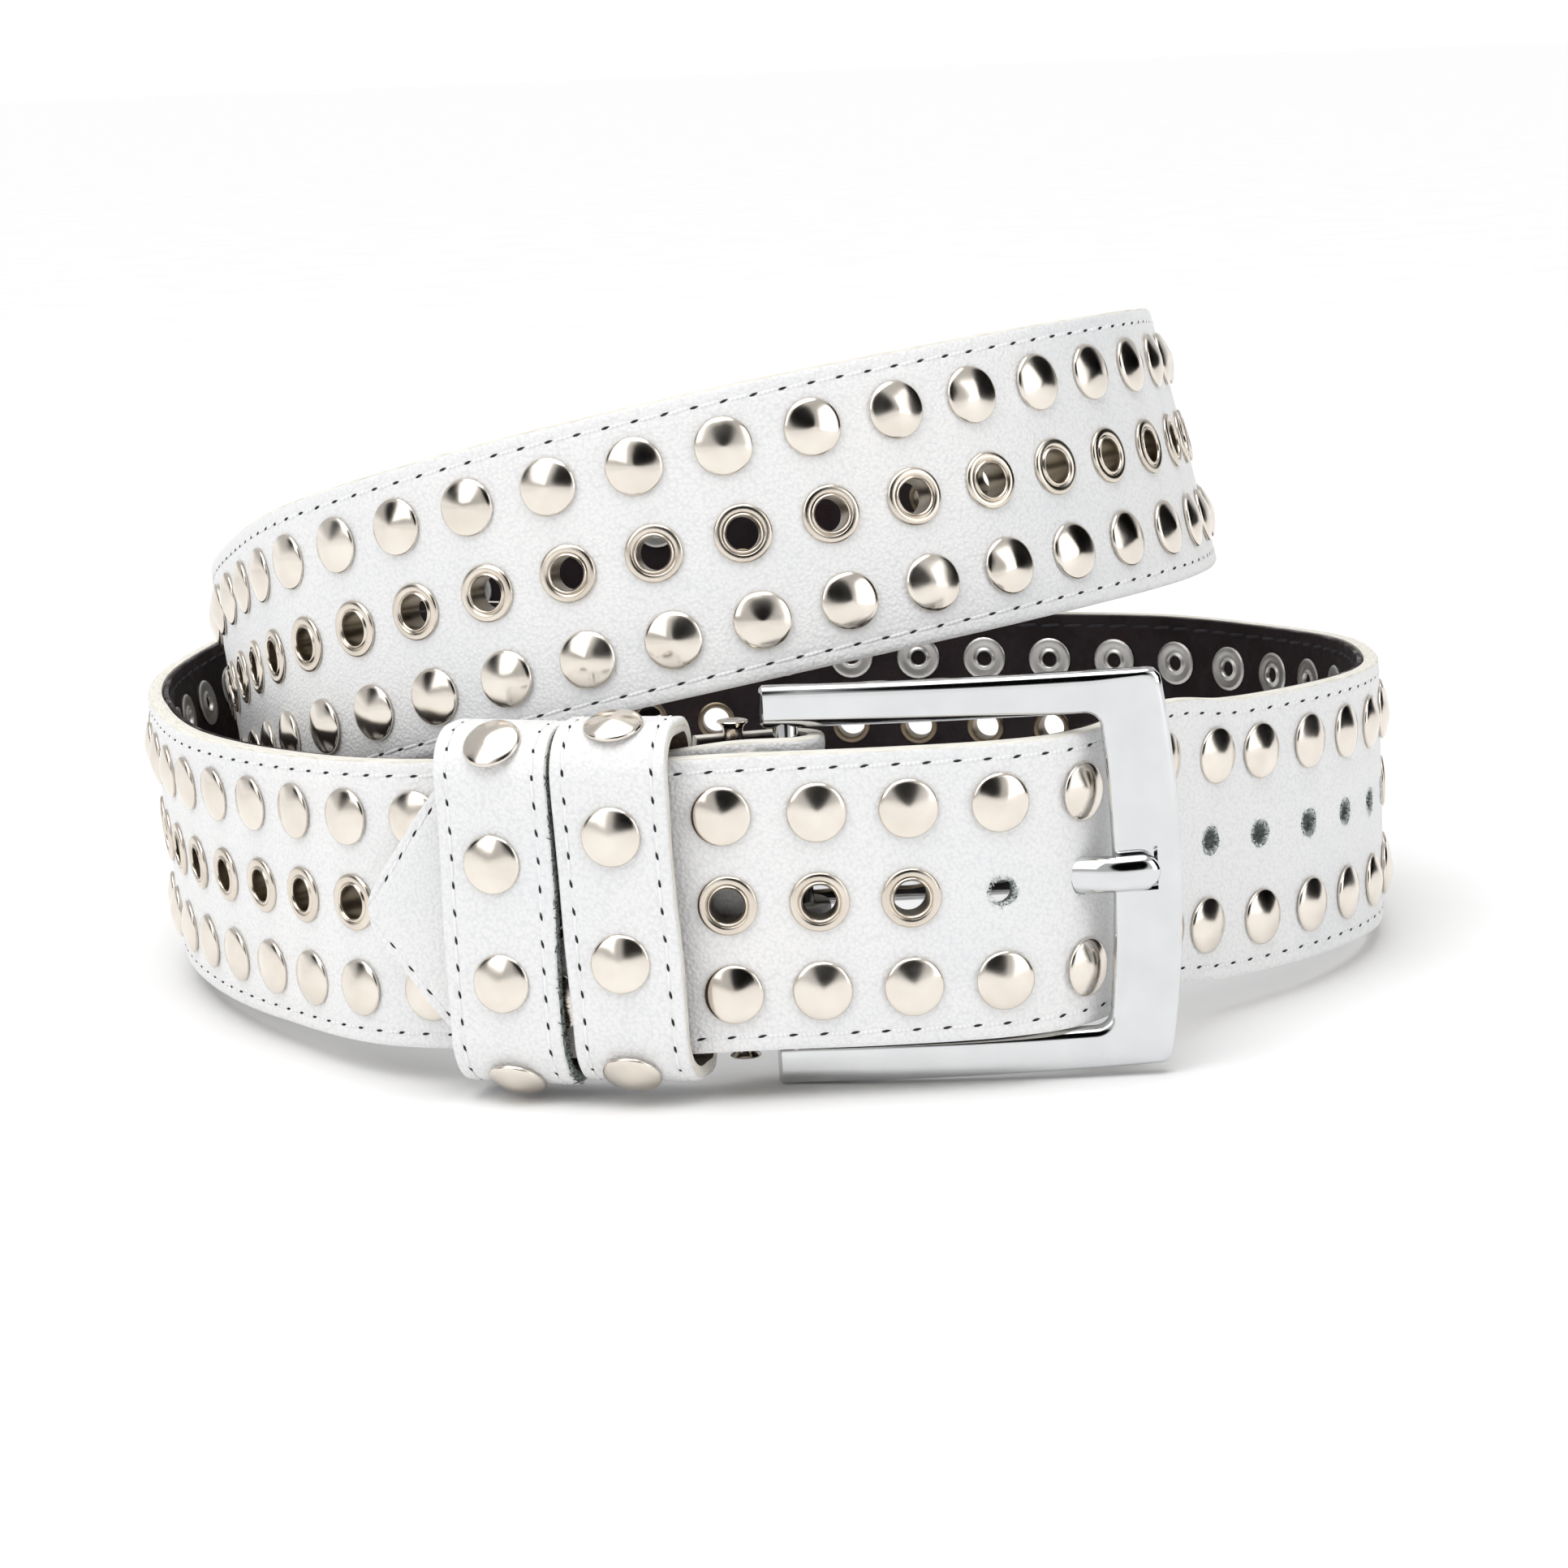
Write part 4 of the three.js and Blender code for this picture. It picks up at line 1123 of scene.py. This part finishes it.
# %% The setting tree
def setting_tree():
    tree = bpy.data.node_groups.new("set_fittings", "GeometryNodeTree")
    face = tree.interface
    face.new_socket("Geometry", in_out="INPUT", socket_type="NodeSocketGeometry")
    face.new_socket("Fitting", in_out="INPUT", socket_type="NodeSocketObject")
    face.new_socket("Size", in_out="INPUT", socket_type="NodeSocketFloat")
    face.new_socket("Lift", in_out="INPUT", socket_type="NodeSocketFloat")
    face.new_socket("Tilt", in_out="INPUT", socket_type="NodeSocketFloat")
    face.new_socket("Seed", in_out="INPUT", socket_type="NodeSocketInt")
    face.new_socket("Finish", in_out="INPUT", socket_type="NodeSocketMaterial")
    face.new_socket("Geometry", in_out="OUTPUT", socket_type="NodeSocketGeometry")
    given = add_node(tree, "NodeGroupInput").outputs
    way = {"data_type": "FLOAT_VECTOR"}
    along_way = add_node(tree, "GeometryNodeInputNamedAttribute", way, {"Name": "along"})
    out_way = add_node(tree, "GeometryNodeInputNamedAttribute", way, {"Name": "out"})
    lifted = add_node(
        tree,
        "ShaderNodeVectorMath",
        {"operation": "SCALE"},
        {"Vector": out_way.outputs["Attribute"], "Scale": given["Lift"]},
    )
    moved = add_node(
        tree,
        "GeometryNodeSetPosition",
        {},
        {"Geometry": given["Geometry"], "Offset": lifted.outputs["Vector"]},
    )
    chance = add_node(
        tree,
        "FunctionNodeRandomValue",
        way,
        {"Min": (-1.0, -1.0, -1.0), "Max": (1.0, 1.0, 1.0), "Seed": given["Seed"]},
    )
    tilted = add_node(
        tree,
        "ShaderNodeVectorMath",
        {"operation": "SCALE"},
        {"Vector": chance.outputs["Value"], "Scale": given["Tilt"]},
    )
    facing = add_node(
        tree,
        "FunctionNodeAxesToRotation",
        {"primary_axis": "Z", "secondary_axis": "X"},
        {"Primary Axis": out_way.outputs["Attribute"], "Secondary Axis": along_way.outputs["Attribute"]},
    )
    tilt = add_node(tree, "FunctionNodeEulerToRotation", {}, {"Euler": tilted.outputs["Vector"]})
    turned_by = add_node(
        tree,
        "FunctionNodeRotateRotation",
        {"rotation_space": "LOCAL"},
        {"Rotation": facing.outputs["Rotation"], "Rotate By": tilt.outputs["Rotation"]},
    )
    template = add_node(tree, "GeometryNodeObjectInfo", {}, {"Object": given["Fitting"]})
    copies = add_node(
        tree,
        "GeometryNodeInstanceOnPoints",
        {},
        {
            "Points": moved.outputs["Geometry"],
            "Instance": template.outputs["Geometry"],
            "Rotation": turned_by.outputs["Rotation"],
            "Scale": given["Size"],
        },
    )
    real = add_node(tree, "GeometryNodeRealizeInstances", {}, {"Geometry": copies.outputs["Instances"]})
    finished = add_node(
        tree,
        "GeometryNodeSetMaterial",
        {},
        {"Geometry": real.outputs["Geometry"], "Material": given["Finish"]},
    )
    add_node(tree, "NodeGroupOutput", {}, {"Geometry": finished.outputs["Geometry"]})
    return tree


setting = setting_tree()


# %% Setting one kind of fitting
def set_fittings(name, template, sites, finish, size=1.0, lift=0.0, tilt=0.0, seed=1):
    """Sites are (point in mm, direction along, direction out)."""
    points = np.array([site[0] for site in sites])
    mesh = bpy.data.meshes.new(name)
    mesh.from_pydata(((points + shift) / 1000).tolist(), [], [])
    for word, index in (("along", 1), ("out", 2)):
        stored = mesh.attributes.new(word, "FLOAT_VECTOR", "POINT")
        stored.data.foreach_set("vector", np.array([site[index] for site in sites], np.float32).ravel())
    obj = bpy.data.objects.new(name, mesh)
    bpy.context.scene.collection.objects.link(obj)
    modifier = obj.modifiers.new("setting", "NODES")
    modifier.node_group = setting
    values = {"Fitting": template, "Size": size, "Lift": lift / 1000, "Tilt": tilt, "Seed": seed}
    values["Finish"] = finish
    for socket in setting.interface.items_tree:
        if socket.in_out == "INPUT" and socket.name in values:
            modifier[socket.identifier] = values[socket.name]
    bpy.context.view_layer.update()
    evaluated = obj.evaluated_get(bpy.context.evaluated_depsgraph_get())
    plain_mesh = bpy.data.meshes.new_from_object(evaluated)
    obj.modifiers.clear()
    obj.data = plain_mesh
    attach(obj, "root")
    print(name, "sites:", len(sites), "faces:", len(plain_mesh.polygons))
    return obj


def strap_sites(lengths_here, side, height, flip=1.0):
    lengths_here = np.asarray(lengths_here, float)
    points = on_strap(lengths_here, side, height)
    ways = read_table(along, lengths_here)
    outs = read_table(out, lengths_here) * flip
    return list(zip(points, ways, outs))


# %% [markdown]
# ## Studs, eyelets and washers on the strap
# Two rows of studs run the whole length, with an eyelet between them in every column that isn't
# plain. On the back each stud ends in its washer.

# %% Rows of fittings
stud_sites = strap_sites(columns, -row_spacing, face_top) + strap_sites(columns, row_spacing, face_top)


def keeper_studs(along_back, toward, marks):
    """Studs at marks round the front: a height on it in mm, and on its bends the turn in degrees."""
    base, inward, upward, way = keeper_axes(along_back)
    sites = []
    for number, mark in enumerate(marks):
        on_bend = number in (0, len(marks) - 1)
        turn = math.radians(mark) if on_bend else 0.0
        level = mark
        if on_bend:
            level = front_corner if mark < 0 else keeper_height - front_corner
        normal = -inward * math.cos(turn) + upward * math.sin(turn)
        bulge = 0.0 if on_bend else front_bulge * math.sin(math.pi * level / keeper_height)
        spot = base + inward * (front_corner - keeper_front) + upward * level
        spot = spot + way * (toward * flare + leaned(level))
        sites.append((spot + normal * (front_corner + bulge), way, normal))
    return sites


for name, along_back, toward, broad, marks in keeper_rows:
    stud_sites += keeper_studs(along_back, toward, marks)
set_fittings("stud_caps", stud_cap, stud_sites, nickel, tilt=0.025, seed=5)
lined = columns[~plain]
eyelet_sites = strap_sites(lined, 0.0, face_top)
set_fittings("eyelets", eyelet, eyelet_sites, eyelet_nickel, tilt=0.012, seed=6)
set_fittings("eyelet_tubes", tube, eyelet_sites, bore_shade_nickel, seed=6)
washer_sites = strap_sites(columns, -row_spacing, lining_low, -1.0)
washer_sites += strap_sites(columns, row_spacing, lining_low, -1.0)
set_fittings(
    "stud_washers", washer, washer_sites, satin_nickel, washer_size, tilt=0.03, seed=7
)

# %% [markdown]
# ## The seams
# A lock stitch every 4.1 mm holds the two layers together, 2.1 mm from the edge. Each stitch is
# a short length of thread that sinks at both ends into a needle hole, and the holes slant a
# little, because the needle has a blade-shaped point.


# %% One stitch and one needle hole
def rod_mesh(name, rows, sides, flatness, finish):
    """A short rod along x, as rows of (place along, radius, height), pressed flat by a share."""
    points, faces, rings = [], [], []
    for x, radius, height in rows:
        angles = 2 * math.pi * np.arange(sides) / sides
        rings.append([(x, radius * math.cos(a), height + flatness * radius * math.sin(a)) for a in angles])
    add_rings(points, faces, rings)
    mesh = bpy.data.meshes.new(name)
    mesh.from_pydata((np.array(points) / 1000).tolist(), [], faces)
    mesh.materials.append(finish)
    shell = bmesh.new()
    shell.from_mesh(mesh)
    bmesh.ops.recalc_face_normals(shell, faces=shell.faces)
    shell.to_mesh(mesh)
    shell.free()
    mesh.shade_smooth()
    obj = bpy.data.objects.new(name, mesh)
    bpy.context.scene.collection.objects.link(obj)
    return obj


stitch_rows = [(-1.75, 0.1, -0.2), (-1.6, 0.2, -0.1), (-1.1, 0.26, 0.0), (0.0, 0.28, 0.03)]
stitch_rows += [(1.1, 0.26, 0.0), (1.6, 0.2, -0.1), (1.75, 0.1, -0.2)]
stitch = rod_mesh("stitch", stitch_rows, 8, 0.6, thread)
# The needle hole is a dark rod, its colour painted shade.
prick_rows = [(-0.6, 0.05, 0.0), (-0.4, 0.15, 0.0), (0.0, 0.2, 0.0), (0.35, 0.12, 0.0), (0.6, 0.04, 0.0)]
prick = rod_mesh("needle_prick", prick_rows, 8, 0.25, hole_shade_and_dark_thread)


# %% Seams of the strap
stitch_pitch = 4.1


def slanted(sites, degrees):
    """The same sites with the direction along turned about the direction out."""
    turned_sites = []
    angle = math.radians(degrees)
    for point, way, normal in sites:
        side = np.cross(normal, way)
        turned_sites.append((point, way * math.cos(angle) + side * math.sin(angle), normal))
    return turned_sites


def seam_line(height, flip):
    """Stitches and pricks along both edges, and round the tip's point."""
    stitches, pricks = [], []
    straight = np.arange(tip_stations[-3], bar_run - 2, 0.5)
    for side in (-1, 1):
        path_length = np.concatenate([np.linspace(3.4, 17, 28), straight])
        halves = half_width * np.interp(path_length, tip_lengths, tip_shares)
        path_side = side * (halves - seam_inset)
        points = on_strap(path_length, path_side, height)
        walk = np.concatenate([[0], np.cumsum(np.linalg.norm(np.diff(points, axis=0), axis=1))])
        for offset, kept in ((0.0, pricks), (stitch_pitch / 2, stitches)):
            spots = np.arange(offset, walk[-1] - 2, stitch_pitch)
            spot_length = np.interp(spots, walk, path_length)
            spot_side = np.interp(spots, walk, path_side)
            here = on_strap(spot_length, spot_side, height)
            ahead = np.column_stack([np.interp(spots + 0.8, walk, points[:, i]) for i in range(3)])
            back = np.column_stack([np.interp(spots - 0.8, walk, points[:, i]) for i in range(3)])
            ways = unit(ahead - back)
            kept += list(zip(here, ways, read_table(out, spot_length) * flip))
    return stitches, pricks


front_stitches, front_pricks = seam_line(face_top, 1.0)
back_stitches = seam_line(lining_low, -1.0)[0]
set_fittings("seam_thread", stitch, slanted(front_stitches, 4), thread, lift=-0.13, tilt=0.03, seed=8)
set_fittings("seam_pricks", prick, slanted(front_pricks, 9), hole_shade_and_dark_thread, lift=-0.07, tilt=0.08, seed=9)
set_fittings("lining_thread", stitch, slanted(back_stitches, 4), hole_shade_and_dark_thread, lift=0.02, tilt=0.03, seed=10)


# %% Seams of the keepers
keeper_stitch_pitch = 3.7
keeper_seam_side = 5.7


def keeper_seams(along_back, toward, skew, broad):
    base, inward, upward, way = keeper_axes(along_back)
    outline, ways = loop_outline(0.0)
    walked = np.concatenate([[0], np.cumsum(np.linalg.norm(np.diff(outline, axis=0), axis=1))])
    stitches, pricks = [], []
    for side in (-keeper_seam_side * broad, keeper_seam_side * broad):
        for offset, kept in ((0.0, pricks), (keeper_stitch_pitch / 2, stitches)):
            for spot in np.arange(offset + 0.6, walked[-1] - 1, keeper_stitch_pitch):
                x, y = (np.interp(spot, walked, outline[:, i]) for i in range(2))
                nx, ny = (np.interp(spot, walked, ways[:, i]) for i in range(2))
                normal = unit(inward * nx + upward * ny)
                bulge, sway = keeper_wave(x, y, nx, ny, spot, skew, toward)
                px, py = x + nx * bulge, y + ny * bulge * (ny > -0.5)
                point = base + inward * px + upward * py + way * (side + sway)
                kept.append((point, np.cross(normal, way), normal))
    return stitches, pricks


keeper_stitches, keeper_pricks = [], []
for name, along_back, toward, broad, marks in keeper_rows:
    stitches, pricks = keeper_seams(along_back, toward, along_back / 10, broad)
    keeper_stitches += stitches
    keeper_pricks += pricks
set_fittings("keeper_thread", stitch, slanted(keeper_stitches, 4), thread, 0.9, lift=-0.1, seed=11)
set_fittings("keeper_pricks", prick, slanted(keeper_pricks, 12), hole_shade_and_dark_thread, lift=-0.07, tilt=0.1, seed=12)

# %% [markdown]
# ## Torn fibres
# Round each plain hole the punch has left short fibres that lean inwards. They are thin rods,
# set by the same tree at places that a fixed seed spreads round the rims.

# %% Fibres round the plain holes
fibre_rows = [(-0.45, 0.03, 0.0), (-0.2, 0.05, 0.04), (0.1, 0.05, 0.02), (0.4, 0.02, -0.08)]
fibre = rod_mesh("fibre", fibre_rows, 5, 1.0, core_fibre)
fibre_sites = []
rng = np.random.default_rng(21)
for centre in columns[plain]:
    for _ in range(110):
        angle = rng.uniform(0, 2 * math.pi)
        radius = 1.98 - abs(rng.normal(0, 0.16))
        depth = face_top - 0.04 - abs(rng.normal(0, 0.3))
        near, far = (
            on_strap(centre + r * math.cos(angle), r * math.sin(angle), depth)[0]
            for r in (radius, radius - 0.5)
        )
        normal = read_table(out, [centre])[0]
        inwards = unit(far - near + normal * rng.normal(0, 0.35) + rng.normal(0, 0.2, 3))
        fibre_sites.append((near, inwards, unit(normal + rng.normal(0, 0.3, 3))))
set_fittings("torn_fibres", fibre, fibre_sites, torn_fibre, 1.05, tilt=0.3, seed=13)

# %% [markdown]
# The cut edge of the keeper beside the tip is rough: dark ends of fibres stand out of it all the
# way round its front, where it faces the other keeper. Their near black is partly their own
# colour and partly painted shade of the gap between the two keepers.

# %% Frayed edge of a keeper
name, along_back, toward, broad, marks = keeper_rows[1]
base, inward, upward, way = keeper_axes(along_back)
outline, ways = loop_outline(0.0)
walked = np.concatenate([[0], np.cumsum(np.linalg.norm(np.diff(outline, axis=0), axis=1))])
front_walk = walked[outline[:, 0] < front_corner - keeper_front]
frayed_sites = []
for spot in rng.uniform(front_walk[0], front_walk[-1], 260):
    x, y = (np.interp(spot, walked, outline[:, i]) for i in range(2))
    nx, ny = (np.interp(spot, walked, ways[:, i]) for i in range(2))
    normal = unit(inward * nx + upward * ny)
    bulge, sway = keeper_wave(x, y, nx, ny, spot, along_back / 10, toward)
    point = base + inward * x + upward * y + normal * (bulge - rng.uniform(0.15, keeper_thickness))
    point = point + way * (broad * keeper_width / 2 + sway)
    direction = unit(way * rng.uniform(0.1, 0.8) + np.cross(normal, way) * rng.normal(0, 0.7))
    frayed_sites.append((point, direction, unit(normal + rng.normal(0, 0.2, 3))))
set_fittings("frayed_fibres", fibre, frayed_sites, near_black_fibre_and_gap_shade, 1.3, tilt=0.3, seed=14)

# %% [markdown]
# ## Rivets through the fold
# Two tubular rivets close the folded end behind the pivot bar. Each has a flat head in front and
# a flared one behind, and a barrel between them.

# %% Fold rivets
rivet_deep = np.array(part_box("fold_rivet_upper")[1])[1] * 1000 - shift[1]
rivet_outline = [
    (0.6, rivet_front + 0.15), (1.0, rivet_front + 0.02), (1.7, rivet_front), (2.0, rivet_front + 0.15),
    (2.1, rivet_front + 0.4), (2.0, rivet_front + 0.72), (1.3, rivet_front + 0.8),
    (1.3, rivet_deep - 1.1), (1.45, rivet_deep - 0.8), (1.8, rivet_deep - 0.5), (2.1, rivet_deep - 0.3),
    (2.05, rivet_deep - 0.08), (1.6, rivet_deep), (1.0, rivet_deep - 0.25), (0.5, rivet_deep - 0.5),
]
for name, side in (("fold_rivet_upper", 1), ("fold_rivet_lower", -1)):
    points, faces, rings = [], [], []
    centre_height = middle_height + side * (half_width - rivet_inset)
    for radius, y in rivet_outline:
        angles = np.linspace(0, 2 * math.pi, 29)[:-1]
        rings.append(
            [(rivet_x + radius * math.cos(a), y, centre_height + radius * math.sin(a)) for a in angles]
        )
    add_rings(points, faces, rings)
    rivet = new_piece(name + "_turned", points, faces, [nickel])
    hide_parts(name)

# %% [markdown]
# A short turned post stands at each edge of the fold, a little behind the rivet. Its neck goes
# down between the fold's two layers, and its flared head shows above the strap's edge. A narrow
# split runs up the front of the neck.

# %% Posts of the fold
post_x = bar_x - 7.0
split_top = 2.0
split_depth = 0.5
split_angle = 0.3
post_outline = [(0.6, -2.4), (1.3, -2.2), (1.35, 1.3), (1.4, 1.9), (1.65, 2.4), (2.0, 2.65), (2.15, 2.85)]
post_outline += [(2.05, 3.0), (1.6, 3.1), (0.9, 3.0), (0.4, 2.95)]
for name, side in (("fold_post_upper", 1), ("fold_post_lower", -1)):
    points, faces, rings = [], [], []
    edge_height = middle_height + side * half_width
    for radius, height in post_outline:
        angles = np.linspace(0, 2 * math.pi, 25)[:-1]
        level = edge_height + side * height
        near_front = np.clip(1 - np.abs(angles - 1.5 * math.pi) / split_angle, 0, 1)
        split = split_depth * (height < split_top) * near_front
        around = radius - split
        spots = zip(post_x + around * np.cos(angles), bar_y + around * np.sin(angles))
        rings.append([(x, y, level) for x, y in spots])
    add_rings(points, faces, rings)
    new_piece(name, points, faces, [nickel])

for template in (stud_cap, eyelet, tube, washer, stitch, prick, fibre):
    bpy.data.objects.remove(template)

# %% [markdown]
# ## Floor, light and camera
# The belt stands on a white sweep under large soft boxes. The floor is a wide pale sheet. Broad
# lights from the left, the right and above keep the leather nearly white. The world is brightest
# at the horizon, and has three round dark cards with soft edges, one in front and one at each
# side. They draw the dark wedges on the studs and the dark line along the buckle.

# %% Floor
floor_finish, tree, shader = new_finish("pale_floor", "F4F4F4", 0.8)
mottle = noise(tree, own_places(tree), 1 / 0.05, 2.0)
tree.links.new(ramp(tree, mottle, [(0.3, "F6F6F6"), (0.7, "F9F9F9")]), shader.inputs["Base Color"])
floor_half = 40.0
floor_mesh = bpy.data.meshes.new("floor")
corners = [(-floor_half, -floor_half, 0), (floor_half, -floor_half, 0), (floor_half, floor_half, 0)]
floor_mesh.from_pydata(corners + [(-floor_half, floor_half, 0)], [], [(0, 1, 2, 3)])
floor_mesh.materials.append(floor_finish)
floor = bpy.data.objects.new("floor", floor_mesh)
bpy.context.scene.collection.objects.link(floor)

# %% World with soft dark cards
world = bpy.data.worlds.new("studio")
bpy.context.scene.world = world
# The plain transform keeps a white object white, as a product photograph does.
bpy.context.scene.view_settings.view_transform = "Standard"
world.use_nodes = True
tree = world.node_tree
background = tree.nodes["Background"]
directions = add_node(tree, "ShaderNodeTexCoord").outputs["Generated"]


def dark_card(direction, inner, outer):
    """0 inside a round card seen in that direction, 1 outside it, with a soft edge."""
    aimed = add_node(
        tree,
        "ShaderNodeVectorMath",
        {"operation": "DOT_PRODUCT"},
        {0: directions, 1: unit(np.array(direction, float)).tolist()},
    ).outputs["Value"]
    limits = {"From Min": math.cos(outer), "From Max": math.cos(inner), "To Min": 1.0, "To Max": 0.0}
    limits["Value"] = aimed
    return add_node(tree, "ShaderNodeMapRange", {}, limits).outputs["Result"]


# Each card has its direction, and the angles from its middle where it fades and where it ends.
cards = [
    ((0.1, -0.88, 0.46), 0.34, 0.45),
    ((0.93, 0.2, 0.24), 0.46, 0.6),
    ((-0.92, -0.1, 0.38), 0.12, 0.3),
]
light_left = None
for direction, inner, outer in cards:
    card = dark_card(direction, inner, outer)
    if light_left is None:
        light_left = card
    else:
        both = {0: light_left, 1: card}
        light_left = add_node(tree, "ShaderNodeMath", {"operation": "MULTIPLY"}, both).outputs[0]
height = add_node(tree, "ShaderNodeSeparateXYZ", {}, {"Vector": directions}).outputs["Z"]
dome = spread(tree, height, 1.15, 0.58, 0.04, 0.16)
sky = add_node(tree, "ShaderNodeMath", {"operation": "MULTIPLY"}, {0: dome, 1: light_left}).outputs[0]
tree.links.new(sky, background.inputs["Strength"])
background.inputs["Color"].default_value = (1.0, 1.0, 1.0, 1.0)


# %% Soft boxes
def look_along(direction, above):
    right = unit(np.cross(direction, above))
    upward = np.cross(right, direction)
    return np.column_stack([right, upward, -direction]).tolist()


def soft_box(name, place, aim, size, power):
    light = bpy.data.lights.new(name, "AREA")
    light.shape = "RECTANGLE"
    light.size, light.size_y = size
    light.energy = power
    lamp = bpy.data.objects.new(name, light)
    lamp.location = place
    direction = unit(np.array(aim, float) - np.array(place, float))
    lamp.rotation_euler = Matrix(look_along(direction, np.array([0.0, 0.0, 1.0]))).to_euler()
    bpy.context.scene.collection.objects.link(lamp)


soft_box("key_left", (-0.75, -0.65, 0.75), (0, 0, 0.04), (0.7, 0.9), 2.6)
soft_box("fill_right", (0.9, -0.55, 0.45), (0, 0, 0.04), (0.6, 0.8), 2.0)
sun_light = bpy.data.lights.new("ceiling", "SUN")
sun_light.energy = 1.9
sun_light.angle = math.radians(60)
ceiling = bpy.data.objects.new("ceiling", sun_light)
ceiling.rotation_euler = (math.radians(8), math.radians(-6), 0)
bpy.context.scene.collection.objects.link(ceiling)
print("lights:", len(bpy.data.lights))

# %% [markdown]
# The camera stands ten degrees above the belt and a little over 60 cm away, behind a lens of
# about 94 mm, and is rolled by two degrees. Its place was worked out from the studs' places.

# %% Camera
image_width = 1932
focal_pixels = 5061.0
sensor = 36.0
elevation, azimuth, roll = (math.radians(a) for a in (10.03, 0.58, -2.23))
forward = np.array(
    [
        math.sin(azimuth) * math.cos(elevation),
        math.cos(azimuth) * math.cos(elevation),
        -math.sin(elevation),
    ]
)
level_right = np.array([math.cos(azimuth), -math.sin(azimuth), 0.0])
level_up = np.cross(level_right, forward)
right = math.cos(roll) * level_right + math.sin(roll) * level_up
above = -math.sin(roll) * level_right + math.cos(roll) * level_up
camera_distance = 629.3
aim = np.array([0, 0, 45.0])
camera_place = -forward * camera_distance + right * 2.6 + above * -18.2 + aim
camera_data = bpy.data.cameras.new("camera")
camera_data.sensor_width = sensor
camera_data.lens = sensor * focal_pixels / image_width
camera_data.clip_start = 0.01
camera = bpy.data.objects.new("camera", camera_data)
turn = Matrix(np.column_stack([right, above, -forward]).tolist()).to_4x4()
camera.matrix_world = Matrix.Translation(((camera_place + shift) / 1000).tolist()) @ turn
bpy.context.scene.collection.objects.link(camera)
bpy.context.scene.camera = camera
print("lens, mm:", round(camera_data.lens, 1))
